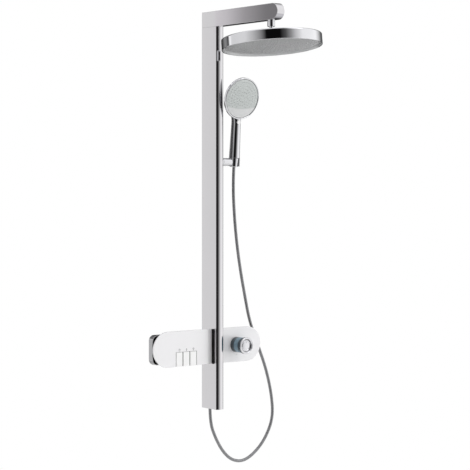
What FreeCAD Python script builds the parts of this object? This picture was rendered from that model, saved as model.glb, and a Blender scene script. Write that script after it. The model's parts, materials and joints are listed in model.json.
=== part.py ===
"""Rainfall shower column: deep flat column with a round-nosed arm, tilting overhead shower,
glass control bar with three keys and a temperature knob, and a hand shower on a hose.

Frame: millimetres. +X to the right, -Y away from the wall, +Z up. The origin is on the wall
plane (the column's back face), on the column's centre line, level with the control bar's axis.
"""
import FreeCAD
import Part
import math
import os

V = FreeCAD.Vector
X, Y, Z = V(1, 0, 0), V(0, 1, 0), V(0, 0, 1)
COIL_STEPS = 12

# ---- driving dimensions, mm -------------------------------------------------------------------
# column and arm share one flat section
COL_W, COL_D = 23.0, 61.0
COL_BOTTOM, COL_TOP = -162.0, 823.0
WALL = 1.8
CROWN = 4.2
ARM_TOP = 863.0
ARM_LEN = 308.0
PIPE_R, PIPE_BORE = 5.0, 4.0
PIPE_Y = -20.0
PIPE_TOP = ARM_TOP - 18.0
JOIN_Z = (813.0, 832.0)
JOIN_Y = -46.0
JOIN_HALF_Y, JOIN_HALF_Z = 12.0, 16.0
BRACKET_Z = (760.0, -100.0)
BRACKET_HALF, BRACKET_T = 20.0, 12.0
BRACKET_HOLE_R, BRACKET_HOLE_Z = 2.75, 12.0
GRUB_R, GRUB_LEN = 2.4, 7.0
PLUG_TOP, PLUG_T = -134.0, 6.0
NIPPLE_R, NIPPLE_LEN = 6.5, 8.0
BEND_R = 14.0

# overhead shower
NECK_Y = -270.0
PIVOT_Z = 790.0
NECK_R = 9.5
BALL_R = 11.0
SEAT_R = 13.0
RUN_GAP = 0.05
HEAD_R = 125.0
HEAD_H = 27.0
HEAD_DROP = 35.6
HEAD_TILT = -6.2
FACE_RECESS = 4.6
PLATE_T, MAT_T, RIB_H = 2.8, 2.0, 1.5
RING_IN = HEAD_R - 9.0
NUT_R, NUT_TOP = 17.5, 11.0
SPLIT_Z = -1.2
STUD_R = 4.5
SHOULDER = 16.5
SPIGOT_R, BLOCK_R, BLOCK_H = 6.0, 8.0, 28.0
NECK_BORE = 2.5
SEAT_LOW, SEAT_HIGH = -7.0, 4.0
HEAD_WALL, HEAD_EDGE = 2.0, 2.5
BOSS_LOW = -18.0
RIB_FIRST, RIB_LAST, RIB_STEP = 20, 120, 16

# control bar
BAR_L, BAR_R = -196.0, 148.0
BAR_H = 90.0
GLASS_Y, GLASS_T = -44.0, 4.0
CARRIER_T = 2.0
CASE_BACK = -21.0
CARRIER_INSET = 1.5
CASE_INSET = 1.5
CASE_HALF = 37.5
CASE_CORNER_LEFT, CASE_CORNER_RIGHT = 14.0, 24.0
CASE_WALL = 1.5
SIDE_GAP = 0.2
VALVE_BACK, VALVE_FRONT = -11.0, -29.0
VALVE_HALF = 15.0
VALVE_L, VALVE_R = -150.0, 112.0
INLET_X = 75.0
INLET_R = 10.4
INLET_OUT = 14.0
INLET_BORE = 7.5
UNION_NUT_R, UNION_NUT_OUT = 14.5, -3.0
ROSE_T, ROSE_FRONT_R, ROSE_WALL_R, ROSE_BORE = 7.0, 24.0, 31.0, 15.5
CHECK_R, CHECK_BORE, CHECK_LEN = 7.4, 4.0, 12.0
SEAL_OUT, SEAL_T, SEAL_CORNER = 9.5, 1.6, 3.5

# keys: three side by side, hinged at the top on one pin
KEY_PITCH = 21.8
KEY_MID_X = -93.2
KEY_GAP = 2.2
KEY_TOP = -9.0
KEY_T = 8.0
PIN_Y, PIN_Z, PIN_R = -34.0, -4.0, 1.5
PLUNGER_Z, PLUNGER_R = -27.0, 2.5
LOBE_LOW = -35.4
CART_R, CART_LEN = 7.0, 6.4
KEY_EDGE = 0.5
KEY_ROUND = 0.8
KEY_RELIEF_Y = -30.5
LEVER_INSET, LEVER_BACK, LEVER_LOW, WEB_LOW = 3.0, -31.0, -14.0, -16.0
KEY_COIL_R, KEY_WIRE_R, COIL_TURNS = 4.8, 0.3, 3

# knob
KNOB_X = 67.5
KNOB_R, BEZEL_R = 20.0, 21.5
BEZEL_BACK, KNOB_FRONT = -80.0, -88.5
CAP_R = 15.9
SPINDLE_R, SPINDLE_LEN = 4.0, 30.0
GLASS_HOLE_R, CARRIER_HOLE_R = 17.0, 17.9
BOSS_R, BORE_R, BORE_LEN = 18.0, 14.0, 17.0
INSERT_R, FLANGE_R, SNOUT_R = 13.9, 16.5, 11.0
INSERT_Y, FLANGE_Y, SNOUT_Y, LOCK_NUT_Y = -31.0, -34.0, -60.0, -38.0
SPINDLE_Y = -79.0
SLEEVE_WALL, SLEEVE_END = 2.0, 6.0
SCREW_R, SCREW_HEAD_R, SCREW_HEAD_H = 2.0, 3.5, 2.4

# holder and hand shower
HOLDER_X, HOLDER_Y, HOLDER_Z = 55.0, -51.0, 475.0
HOLDER_LEAN = 4.5
HOLDER_R, HOLDER_H = 14.5, 22.0
STEM_R = 10.0
CUP_R_LOW, CUP_R_TOP = 10.6, 12.4
CUP_SLOT = 6.5
HOSE_NUT_R_LOW, HOSE_NUT_R_TOP, HOSE_NUT_BORE = 10.0, 12.0, 3.0
HANDLE_R_LOW, HANDLE_R_TOP = 13.9, 11.0
HANDLE_TOP = 128.0
DISC_Y, DISC_Z = -72.0, 641.5
DISC_LEAN = 14.0
DISC_R = 54.5
FACE_OUT = -8.4
DOME_BACK = -3.0
RIM_W, RIM_PROUD = 3.5, 0.6
HANDLE_BORE = 4.6
BUTTON_Z, BUTTON_R, BUTTON_T, BUTTON_PROUD = 104.0, 5.5, 4.6, 1.6
BUTTON_COIL_R, BUTTON_WIRE_R = 2.8, 0.15

# hose: points of its route, from the hand shower down, round and up into the column
HOSE_D = 8.0
NUT_LOW = -160.5
HOSE_ROUTE = [
    (55.0, -50.0, 462.5), (55.0, -46.5, 418.0), (61.0, -43.0, 346.0), (72.0, -38.5, 273.0),
    (89.0, -32.0, 199.0), (110.5, -24.5, 127.0), (133.0, -16.5, 56.0), (164.5, -13.0, -10.0),
    (193.0, -13.0, -76.0), (211.0, -14.0, -146.0), (215.0, -15.0, -208.0), (188.0, -16.0, -260.0),
    (151.0, -17.0, -294.5), (111.0, -18.0, -313.0), (73.0, -18.0, -306.0), (43.0, -19.0, -281.0),
    (19.0, -20.0, -245.0), (0.0, -20.0, -201.0), (0.0, -20.0, NUT_LOW),
]

os.makedirs("parts", exist_ok=True)


# ---- helpers ----------------------------------------------------------------------------------
def save(shape, node):
    shape.exportStep("parts/" + node + ".step")


def box(x0, x1, y0, y1, z0, z1):
    return Part.makeBox(x1 - x0, y1 - y0, z1 - z0, V(x0, y0, z0))


def rod(start, direction, radius, length):
    return Part.makeCylinder(radius, length, start, direction)


def ring(start, direction, outer, inner, length):
    return rod(start, direction, outer, length).cut(rod(start, direction, inner, length))


def cone(start, direction, r0, r1, length):
    return Part.makeCone(r0, r1, length, start, direction)


def revolved(points, centre, axis):
    """Solid of revolution from (radius, height) pairs about an axis through centre."""
    side = X if abs(axis.dot(X)) < 0.9 else Y
    corners = [centre + side * r + axis * h for r, h in points]
    face = Part.Face(Part.makePolygon(corners + corners[:1]))
    return face.revolve(centre, axis, 360)


def rounded(shape, radius, picked):
    edges = [e for e in shape.Edges if picked(e)]
    return shape.makeFillet(radius, edges)


def runs_along(edge, axis):
    if not isinstance(edge.Curve, Part.Line):
        return False
    return abs(edge.tangentAt(edge.FirstParameter).dot(axis)) > 0.99


def spring(start, direction, coil_r, wire_r, length, turns):
    """Open coil along direction, wire centre on coil_r, made of short straight lengths."""
    steps = COIL_STEPS * turns
    rise = length - 2 * wire_r
    points = []
    for k in range(steps + 1):
        angle = 2 * math.pi * k / COIL_STEPS
        points.append(V(coil_r * math.cos(angle), coil_r * math.sin(angle), wire_r + rise * k / steps))
    section = Part.Wire(Part.makeCircle(wire_r, points[0], points[1] - points[0]))
    coil = Part.makePolygon(points).makePipeShell([section], True, False, 1)
    coil.Placement = FreeCAD.Placement(start, FreeCAD.Rotation(Z, direction))
    return coil


def stadium(x0, x1, half, y_back, y_front):
    """Bar of height 2 * half with both ends rounded, standing out from y_back to y_front."""
    depth = y_back - y_front
    mid = box(x0 + half, x1 - half, y_front, y_back, -half, half)
    left = rod(V(x0 + half, y_front, 0), Y, half, depth)
    right = rod(V(x1 - half, y_front, 0), Y, half, depth)
    return mid.fuse([left, right]).removeSplitter()


def half_bar(side, inset, y_back, y_front):
    """Left (-1) or right (+1) half of the control bar's outline, up to the column's side."""
    return side_of(stadium(BAR_L + inset, BAR_R - inset, BAR_H / 2 - inset, y_back, y_front), side)


def side_of(whole, side):
    inner = COL_W / 2 + SIDE_GAP
    far = 400.0
    x0, x1 = sorted((side * inner, side * far))
    return whole.common(box(x0, x1, -far, far, -far, far))


def route_wire(points, radius_of):
    """Straight runs joined by tangent arcs; radius_of gives each corner's radius."""
    edges, at, radii = [], points[0], []
    for k in range(1, len(points) - 1):
        before, corner, after = points[k - 1], points[k], points[k + 1]
        u = (before - corner).normalize()
        w = (after - corner).normalize()
        half_turn = (math.pi - u.getAngle(w)) / 2
        radius = radius_of(before, corner, after, half_turn)
        radii.append(radius)
        reach = radius * math.tan(half_turn)
        start, end = corner + u * reach, corner + w * reach
        middle = corner + (u + w).normalize() * (radius / math.cos(half_turn) - radius)
        edges.append(Part.LineSegment(at, start).toShape())
        edges.append(Part.Arc(start, middle, end).toShape())
        at = end
    edges.append(Part.LineSegment(at, points[-1]).toShape())
    return Part.Wire(edges), radii


def swept(wire, start, direction, radius):
    profile = Part.Wire(Part.makeCircle(radius, start, direction))
    return wire.makePipeShell([profile], True, False)


def leaning(shape, lean, x, y, z):
    """Turn a piece drawn upright at the origin about X, then carry it to its place."""
    turned = shape.copy()
    turned.Placement = FreeCAD.Placement(V(x, y, z), FreeCAD.Rotation(X, lean)).multiply(shape.Placement)
    return turned


# ---- column and arm ---------------------------------------------------------------------------
def wall_bracket(z):
    half = COL_W / 2 - WALL - 0.7
    block = box(-half, half, -BRACKET_T, 0, z - BRACKET_HALF, z + BRACKET_HALF)
    for dz in (-BRACKET_HOLE_Z, BRACKET_HOLE_Z):
        block = block.cut(rod(V(0, -BRACKET_T, z + dz), Y, BRACKET_HOLE_R, BRACKET_T))
    return block.cut(grub_hole(BRACKET_T / -2, z))


def grub_hole(y, z):
    return rod(V(COL_W / 2 - GRUB_LEN - 1, y, z), X, GRUB_R + 0.1, GRUB_LEN + 2)


def grub_screw(y, z):
    screw = rod(V(COL_W / 2 - GRUB_LEN - 0.3, y, z), X, GRUB_R, GRUB_LEN)
    socket = rod(V(COL_W / 2 - 2.3, y, z), X, GRUB_R / 2, 3)
    return screw.cut(socket)


def grub_places():
    return [(BRACKET_T / -2, z) for z in BRACKET_Z] + [(JOIN_Y, z) for z in JOIN_Z]


def crowned_bar(half, back, side_front, crown, z0, z1):
    """Upright bar with flat sides and back and a front that bulges by crown."""
    corners = [V(half, side_front, z0), V(half, back, z0), V(-half, back, z0), V(-half, side_front, z0)]
    front = Part.Arc(corners[3], V(0, side_front - crown, z0), corners[0]).toShape()
    sides = [Part.LineSegment(a, b).toShape() for a, b in zip(corners, corners[1:])]
    return Part.Face(Part.Wire(sides + [front])).extrude(V(0, 0, z1 - z0))


def column_profile():
    half = COL_W / 2
    outer = crowned_bar(half, 0, -COL_D, CROWN, COL_BOTTOM, COL_TOP)
    inner = crowned_bar(half - WALL, -WALL, -COL_D + WALL / 2, CROWN - WALL / 2, COL_BOTTOM, COL_TOP)
    shell = outer.cut(inner)
    gap = 1.0
    slot = box(-half, half, VALVE_FRONT - gap, VALVE_BACK + gap, -VALVE_HALF - gap, VALVE_HALF + gap)
    shell = shell.cut(slot)
    window = half - WALL - 0.5
    for z in BRACKET_Z:
        rise = BRACKET_HALF + 0.5
        shell = shell.cut(box(-window, window, -WALL, 0, z - rise, z + rise))
    for y, z in grub_places():
        shell = shell.cut(grub_hole(y, z))
    stem_hole = rod(V(half - WALL, HOLDER_Y, HOLDER_Z), X, STEM_R * 0.6, WALL)
    return shell.cut(stem_hole)


def arm_blank(inset):
    """The arm's flat section with its round nose, shrunk all round by inset."""
    nose = (ARM_TOP - COL_TOP) / 2
    middle_z = COL_TOP + nose
    half = COL_W / 2 - inset
    r = nose - inset
    back = -inset
    bar = box(-half, half, -ARM_LEN + nose, back, middle_z - r, middle_z + r)
    end = rod(V(-half, -ARM_LEN + nose, middle_z), X, r, 2 * half)
    return bar.fuse(end).removeSplitter()


def arm_profile():
    shell = arm_blank(0).cut(arm_blank(WALL))
    inner = COL_W / 2 - WALL
    mouth = box(-inner, inner, -COL_D + WALL, -WALL, COL_TOP, COL_TOP + WALL)
    shell = shell.cut(mouth)
    shell = shell.cut(rod(V(0, NECK_Y, COL_TOP), Z, SPIGOT_R + 0.1, WALL))
    return shell.cut(grub_hole(JOIN_Y, JOIN_Z[1]))


def arm_connector():
    """Block that stands in both column and arm and holds them in line."""
    half = COL_W / 2 - WALL - 0.1
    block = box(-half, half, JOIN_Y - JOIN_HALF_Y, JOIN_Y + JOIN_HALF_Y,
                COL_TOP - JOIN_HALF_Z, COL_TOP + JOIN_HALF_Z)
    for z in JOIN_Z:
        block = block.cut(grub_hole(JOIN_Y, z))
    return block


def riser_pipe():
    top = PIPE_TOP
    start = V(0, PIPE_Y, VALVE_HALF)
    points = [start, V(0, PIPE_Y, top), V(0, NECK_Y + BLOCK_R, top)]
    wire, _ = route_wire(points, lambda *corner: BEND_R)
    return swept(wire, start, Z, PIPE_R).cut(swept(wire, start, Z, PIPE_BORE))


def hand_feed_pipe():
    top = -VALVE_HALF
    low = PLUG_TOP
    return ring(V(0, PIPE_Y, low), Z, PIPE_R, PIPE_BORE, top - low)


def column_end_plug():
    half = COL_W / 2 - WALL - 0.1
    plate = box(-half, half, -COL_D + WALL + 0.1, -WALL - 0.1, PLUG_TOP - PLUG_T, PLUG_TOP)
    nipple = rod(V(0, PIPE_Y, PLUG_TOP - PLUG_T - NIPPLE_LEN), Z, NIPPLE_R, NIPPLE_LEN)
    bore = rod(V(0, PIPE_Y, PLUG_TOP - PLUG_T - NIPPLE_LEN), Z, PIPE_BORE, PLUG_T + NIPPLE_LEN)
    return plate.fuse(nipple).cut(bore)


def hose_end_nut():
    top = PLUG_TOP - PLUG_T - 1.0
    outer = COL_W / 2 - WALL - 0.6
    nut = rod(V(0, PIPE_Y, NUT_LOW), Z, outer, top - NUT_LOW)
    socket_low = PLUG_TOP - PLUG_T - NIPPLE_LEN - 0.5
    nut = nut.cut(rod(V(0, PIPE_Y, socket_low), Z, NIPPLE_R + 0.2, top - socket_low))
    return nut.cut(rod(V(0, PIPE_Y, NUT_LOW), Z, PIPE_BORE - 1, socket_low - NUT_LOW))


# ---- overhead shower --------------------------------------------------------------------------
def in_head(shape):
    return leaning(shape, HEAD_TILT, 0, NECK_Y, PIVOT_Z)


def neck_stud():
    shoulder = PIVOT_Z + SHOULDER
    fit = 0.2
    stud = rod(V(0, NECK_Y, PIVOT_Z), Z, STUD_R, shoulder - PIVOT_Z)
    neck = rod(V(0, NECK_Y, shoulder), Z, NECK_R, COL_TOP - shoulder)
    spigot = rod(V(0, NECK_Y, COL_TOP), Z, SPIGOT_R, WALL + fit)
    block = rod(V(0, NECK_Y, COL_TOP + WALL + fit), Z, BLOCK_R, BLOCK_H)
    ball = Part.makeSphere(BALL_R, V(0, NECK_Y, PIVOT_Z))
    whole = ball.fuse([stud, neck, spigot, block])
    way = rod(V(0, NECK_Y, PIVOT_Z - BALL_R), Z, NECK_BORE, PIPE_TOP - PIVOT_Z + BALL_R)
    port = rod(V(0, NECK_Y, PIPE_TOP), Y, PIPE_BORE, BLOCK_R + 1)
    flange = box(-9, 9, NECK_Y + BLOCK_R - 0.1, NECK_Y + BLOCK_R + 4, COL_TOP, ARM_TOP)
    return whole.cut([way, port, flange])


def ball_seat_ring():
    shell = Part.makeSphere(SEAT_R).cut(Part.makeSphere(BALL_R + RUN_GAP))
    reach = 2 * SEAT_R
    band = box(-reach, reach, -reach, reach, SEAT_LOW, SEAT_HIGH)
    return in_head(shell.common(band))


def ball_nut():
    body = rod(V(0, 0, SPLIT_Z), Z, NUT_R, NUT_TOP - SPLIT_Z)
    body = rounded(body, 1.5, lambda e: e.BoundBox.ZMin > NUT_TOP - 0.1)
    body = body.cut(Part.makeSphere(SEAT_R + RUN_GAP))
    mouth = cone(V(0, 0, 7.0), Z, 8.6, 9.4, 4.2)
    return in_head(body.cut(mouth))


def head_shell():
    low, high = -HEAD_DROP, -HEAD_DROP + HEAD_H
    outer = rod(V(0, 0, low), Z, HEAD_R, HEAD_H)
    outer = rounded(outer, HEAD_EDGE, lambda e: e.BoundBox.ZMin > high - 0.1 and e.BoundBox.ZMax < high + 0.1)
    cavity = rod(V(0, 0, low), Z, HEAD_R - HEAD_WALL, HEAD_H - HEAD_WALL)
    boss = rod(V(0, 0, BOSS_LOW), Z, NUT_R - 1, SPLIT_Z - 0.1 - BOSS_LOW)
    body = outer.cut(cavity).fuse(boss).cut(Part.makeSphere(SEAT_R + RUN_GAP))
    return in_head(body.cut(rod(V(0, 0, BOSS_LOW - 2), Z, 2 * NECK_BORE, 10)))


def head_nozzle_mat():
    low = -HEAD_DROP + FACE_RECESS + PLATE_T + 0.2
    mat = rod(V(0, 0, low), Z, HEAD_R - 6, MAT_T)
    radii = range(RIB_FIRST, RIB_LAST, RIB_STEP)
    ribs = [ring(V(0, 0, low + MAT_T), Z, r + 1, r - 1, RIB_H) for r in radii]
    return in_head(mat.fuse(ribs))


def head_face_plate():
    low = -HEAD_DROP + FACE_RECESS
    return in_head(rod(V(0, 0, low), Z, RING_IN - 0.3, PLATE_T))


def head_trim_ring():
    """Chamfered ring that leads from the shell's lower edge up to the face plate."""
    low, outer, lip = -HEAD_DROP + 0.3, HEAD_R - 2.1, 1.5
    seat = low + FACE_RECESS - 0.3
    corners = [(outer, low), (outer, seat + lip), (RING_IN, seat + lip), (RING_IN, seat), (outer - lip, low)]
    return in_head(revolved(corners, V(0, 0, 0), Z))


# ---- control bar ------------------------------------------------------------------------------
KEY_HALF_SPAN = 1.5 * KEY_PITCH


def key_notch(depth_from, depth_to, extra):
    x0, x1 = KEY_MID_X - KEY_HALF_SPAN - extra, KEY_MID_X + KEY_HALF_SPAN + extra
    return box(x0, x1, depth_from, depth_to, -BAR_H / 2 - 2, KEY_TOP + KEY_EDGE + extra)


def knob_hole(radius):
    return rod(V(KNOB_X, GLASS_Y - 1, 0), Y, radius, 30)


def panel_glass(side):
    plate = half_bar(side, 0, GLASS_Y + GLASS_T, GLASS_Y)
    if side > 0:
        return plate.cut(knob_hole(GLASS_HOLE_R))
    return plate.cut(key_notch(GLASS_Y - 1, GLASS_Y + GLASS_T + 1, 0))


def glass_carrier(side):
    back = GLASS_Y + GLASS_T + CARRIER_T
    plate = half_bar(side, CARRIER_INSET, back, GLASS_Y + GLASS_T)
    if side > 0:
        return plate.cut(knob_hole(CARRIER_HOLE_R))
    hinge_room = box(KEY_MID_X - KEY_HALF_SPAN, KEY_MID_X + KEY_HALF_SPAN,
                     GLASS_Y + GLASS_T - 1, back + 1, KEY_TOP - 3, PIN_Z + 7)
    return plate.cut(key_notch(GLASS_Y, back + 1, 0)).cut(hinge_room)


def case_block(inset, y_back, y_front):
    """Block with rounded corners that the casing's outside and inside are both made from."""
    half = CASE_HALF - inset
    block = box(BAR_L + CASE_INSET + inset, BAR_R - CASE_INSET - inset, y_front, y_back, -half, half)
    block = rounded(block, CASE_CORNER_LEFT - inset, lambda e: runs_along(e, Y) and e.BoundBox.XMax < 0)
    return rounded(block, CASE_CORNER_RIGHT - inset, lambda e: runs_along(e, Y) and e.BoundBox.XMin > 0)


def casing(side):
    front = GLASS_Y + GLASS_T + CARRIER_T
    outer = case_block(0, CASE_BACK, front)
    inner = case_block(CASE_WALL, CASE_BACK - CASE_WALL, front)
    shell = side_of(outer.cut(inner), side)
    room = box(VALVE_L - 2, VALVE_R + 2, CASE_BACK - CASE_WALL, CASE_BACK,
               -VALVE_HALF - 4, VALVE_HALF + 4)
    shell = shell.cut(room)
    if side < 0:
        shell = shell.cut(key_notch(front - 1, KEY_RELIEF_Y, 0))
    return shell


def panel_seal(side):
    """Black strip on the column's side, along the front edge of the glass."""
    half = BAR_H / 2
    x0 = COL_W / 2 if side > 0 else -COL_W / 2 - SEAL_T
    y0 = GLASS_Y - 0.1 - SEAL_OUT
    strip = box(x0, x0 + SEAL_T, y0, y0 + SEAL_OUT, -half, half)
    return rounded(strip, SEAL_CORNER, lambda e: runs_along(e, X))


def valve_body():
    half = VALVE_HALF
    bar = box(VALVE_L, VALVE_R, VALVE_FRONT, VALVE_BACK, -half, half)
    bar = rounded(bar, 4.0, lambda e: runs_along(e, X))
    boss = rod(V(KNOB_X, VALVE_FRONT - 2, 0), Y, BOSS_R, VALVE_BACK - VALVE_FRONT + 2)
    x0, x1 = KEY_MID_X - KEY_HALF_SPAN + 1, KEY_MID_X + KEY_HALF_SPAN - 1
    lobe = box(x0, x1, VALVE_FRONT, CASE_BACK - CASE_WALL - 0.3, LOBE_LOW, -half + 5)
    body = bar.fuse([boss, lobe]).removeSplitter()
    body = body.cut(rod(V(KNOB_X, VALVE_FRONT - 3, 0), Y, BORE_R, BORE_LEN))
    for x in key_centres():
        body = body.cut(rod(V(x, VALVE_FRONT - 1, PLUNGER_Z), Y, CART_R, 6.0))
    for x in (-INLET_X, INLET_X):
        body = body.cut(rod(V(x, VALVE_BACK - 4, 0), Y, INLET_BORE, 5.0))
    for z0, z1 in ((0, half + 1), (-half - 1, 0)):
        body = body.cut(rod(V(0, PIPE_Y, z0), Z, PIPE_BORE, z1 - z0))
    return body.cut(rod(V(-INLET_X, PIPE_Y, 0), X, PIPE_BORE, 2 * INLET_X))


def inlet_union(x):
    sixth = math.pi / 3
    corners = [V(x + UNION_NUT_R * math.cos(k * sixth), VALVE_BACK, UNION_NUT_R * math.sin(k * sixth))
               for k in range(7)]
    hexagon = Part.Face(Part.makePolygon(corners)).extrude(V(0, UNION_NUT_OUT - VALVE_BACK, 0))
    stub = rod(V(x, UNION_NUT_OUT, 0), Y, INLET_R, INLET_OUT - UNION_NUT_OUT)
    return hexagon.fuse(stub).cut(rod(V(x, VALVE_BACK, 0), Y, INLET_BORE, INLET_OUT - VALVE_BACK))


def escutcheon(x):
    front = V(x, -ROSE_T, 0)
    return cone(front, Y, ROSE_FRONT_R, ROSE_WALL_R, ROSE_T).cut(rod(front, Y, ROSE_BORE, ROSE_T))


def check_valves():
    pair = [ring(V(x, -1.0, 0), Y, CHECK_R, CHECK_BORE, CHECK_LEN) for x in (-INLET_X, INLET_X)]
    return Part.makeCompound(pair)


# ---- keys -------------------------------------------------------------------------------------
KEY_BACK = GLASS_Y + KEY_T
PLUNGER_TIP = KEY_BACK + 0.3


def key_centres():
    return [KEY_MID_X + k * KEY_PITCH for k in (-1, 0, 1)]


def selector_key(x):
    half = (KEY_PITCH - KEY_GAP) / 2
    plate = box(x - half, x + half, GLASS_Y, KEY_BACK, -BAR_H / 2, KEY_TOP)
    plate = rounded(plate, KEY_ROUND, lambda e: e.BoundBox.YMax < GLASS_Y + 0.1)
    side, front = half - LEVER_INSET, GLASS_Y + GLASS_T + 0.6
    lever = box(x - side, x + side, front, LEVER_BACK, LEVER_LOW, PIN_Z + 2 * PIN_R)
    web = box(x - side, x + side, front, KEY_BACK, WEB_LOW, KEY_TOP)
    return plate.fuse([lever, web]).cut(rod(V(x - half, PIN_Y, PIN_Z), X, PIN_R + RUN_GAP, 2 * half))


def key_pivot_pin():
    return rod(V(KEY_MID_X - KEY_HALF_SPAN - 2, PIN_Y, PIN_Z), X, PIN_R, 2 * KEY_HALF_SPAN + 4)


def valve_cartridges():
    cups = []
    for x in key_centres():
        front = V(x, VALVE_FRONT - 1.5, PLUNGER_Z)
        cup = rod(front, Y, CART_R - 0.05, CART_LEN)
        cups.append(cup.cut(rod(front, Y, PLUNGER_R + RUN_GAP, CART_LEN - 1)))
    return Part.makeCompound(cups)


def valve_plunger(x):
    return rod(V(x, PLUNGER_TIP, PLUNGER_Z), Y, PLUNGER_R, CART_LEN + 1)


def key_spring(x):
    start = VALVE_FRONT - 1.6
    length = start - KEY_BACK - 0.1
    return spring(V(x, start, PLUNGER_Z), V(0, -1, 0), KEY_COIL_R, KEY_WIRE_R, length, COIL_TURNS)


# ---- temperature knob -------------------------------------------------------------------------
def on_knob(y, radius, length):
    return rod(V(KNOB_X, y, 0), Y, radius, length)


def thermostatic_cartridge():
    insert = on_knob(INSERT_Y, INSERT_R, BORE_LEN - 1)
    flange = on_knob(FLANGE_Y, FLANGE_R, INSERT_Y - FLANGE_Y)
    snout = on_knob(SNOUT_Y, SNOUT_R, FLANGE_Y - SNOUT_Y)
    return insert.fuse([flange, snout]).cut(on_knob(SNOUT_Y, SPINDLE_R + RUN_GAP, 12.0))


def cartridge_nut():
    return ring(V(KNOB_X, LOCK_NUT_Y, 0), Y, FLANGE_R + 0.1, SNOUT_R + 0.2, 3.8)


def knob_spindle():
    return on_knob(SPINDLE_Y, SPINDLE_R, SPINDLE_LEN).cut(on_knob(SPINDLE_Y, SCREW_R + 0.05, 11.0))


def knob_sleeve():
    body = on_knob(BEZEL_BACK, KNOB_R, GLASS_Y - 0.5 - BEZEL_BACK)
    body = body.cut(on_knob(BEZEL_BACK + SLEEVE_END, KNOB_R - SLEEVE_WALL, GLASS_Y - BEZEL_BACK))
    return body.cut(on_knob(BEZEL_BACK, SPINDLE_R + 0.05, SLEEVE_END + 1))


def knob_bezel():
    body = on_knob(KNOB_FRONT, BEZEL_R, BEZEL_BACK - KNOB_FRONT)
    body = rounded(body, 1.5, lambda e: e.BoundBox.YMax < KNOB_FRONT + 0.1 and e.Closed)
    return body.cut(on_knob(KNOB_FRONT, CAP_R + 0.1, BEZEL_BACK - KNOB_FRONT))


def knob_cap():
    body = on_knob(KNOB_FRONT + 0.7, CAP_R, BEZEL_BACK - KNOB_FRONT - 0.9)
    return body.cut(on_knob(BEZEL_BACK - 4.5, 12.0, 5.0))


def knob_screw():
    under = SPINDLE_Y - 0.1
    head = on_knob(under - SCREW_HEAD_H, SCREW_HEAD_R, SCREW_HEAD_H)
    return head.fuse(on_knob(under, SCREW_R, 9.0))


# ---- holder and hand shower -------------------------------------------------------------------
def at_holder(shape):
    return leaning(shape, HOLDER_LEAN, HOLDER_X, HOLDER_Y, HOLDER_Z)


def in_disc(shape):
    return leaning(shape, DISC_LEAN, HOLDER_X, DISC_Y, DISC_Z)


def holder_stem():
    length = HOLDER_X - HOLDER_R + 1.5 - COL_W / 2
    stem = rod(V(COL_W / 2, HOLDER_Y, HOLDER_Z), X, STEM_R, length)
    stud = rod(V(COL_W / 2 - WALL - 3, HOLDER_Y, HOLDER_Z), X, STEM_R * 0.6 - 0.1, WALL + 3)
    block = at_holder(rod(V(0, 0, -HOLDER_H), Z, HOLDER_R + 0.05, 2 * HOLDER_H))
    return stem.fuse(stud).cut(block)


def holder_cone():
    half = HOLDER_H / 2
    block = rod(V(0, 0, -half), Z, HOLDER_R, HOLDER_H)
    block = block.cut(cone(V(0, 0, -half), Z, CUP_R_LOW, CUP_R_TOP, HOLDER_H))
    slot = box(-CUP_SLOT, CUP_SLOT, -HOLDER_R - 1, 0, -half, half)
    return at_holder(block.cut(slot))


def hose_cone_nut():
    low = -HOLDER_H / 2 - 1.45
    tall = HOLDER_H + 1.5
    body = cone(V(0, 0, low), Z, HOSE_NUT_R_LOW, HOSE_NUT_R_TOP, tall)
    return at_holder(body.cut(rod(V(0, 0, low), Z, HOSE_NUT_BORE, tall)))


def handset_body():
    low = HOLDER_H / 2 + 0.3
    handle = at_holder(cone(V(0, 0, low), Z, HANDLE_R_LOW, HANDLE_R_TOP, HANDLE_TOP - low))
    back = [(0, 8.0), (28, 7.0), (42, 4.0), (DISC_R - 1.5, -1.0), (DISC_R, -2.0), (DISC_R, DOME_BACK),
            (0, DOME_BACK)]
    dome = in_disc(revolved(back, V(0, 0, 0), Y))
    hollow = [(0, 5.5), (27, 4.8), (40, 2.0), (DISC_R - 5, -1.2), (DISC_R - 5, DOME_BACK), (0, DOME_BACK)]
    room = in_disc(revolved(hollow, V(0, 0, 0), Y))
    way = at_holder(rod(V(0, 0, low), Z, HANDLE_BORE, HANDLE_TOP - low - 6))
    pocket = at_holder(rod(V(0, -HANDLE_R_LOW - 2, BUTTON_Z), Y, BUTTON_R + 0.3, HANDLE_R_LOW - 3))
    front = in_disc(rod(V(0, DOME_BACK - 0.05 - DISC_R, 0), Y, DISC_R + 0.4, DISC_R))
    return handle.fuse(dome).cut([room, way, pocket, front])


def handset_rim():
    front = FACE_OUT - RIM_PROUD
    band = ring(V(0, front, 0), Y, DISC_R, DISC_R - RIM_W, DOME_BACK - 0.1 - front)
    band = rounded(band, 1.2, lambda e: e.BoundBox.YMax < front + 0.1 and e.Length > 6.2 * (DISC_R - 1))
    return in_disc(band)


def handset_face():
    return in_disc(rod(V(0, FACE_OUT, 0), Y, DISC_R - RIM_W - 0.2, DOME_BACK - 0.2 - FACE_OUT))


def spray_button():
    front = -HANDLE_R_TOP - 0.4 - BUTTON_PROUD
    body = rod(V(0, front, BUTTON_Z), Y, BUTTON_R, BUTTON_T)
    return at_holder(rounded(body, 0.8, lambda e: e.BoundBox.YMax < front + 0.1))


def button_spring():
    start = -HANDLE_R_LOW - 2 + HANDLE_R_LOW - 3 - 0.1
    coil = spring(V(0, start, BUTTON_Z), V(0, -1, 0), BUTTON_COIL_R, BUTTON_WIRE_R, 3.1, COIL_TURNS)
    return at_holder(coil)


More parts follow.
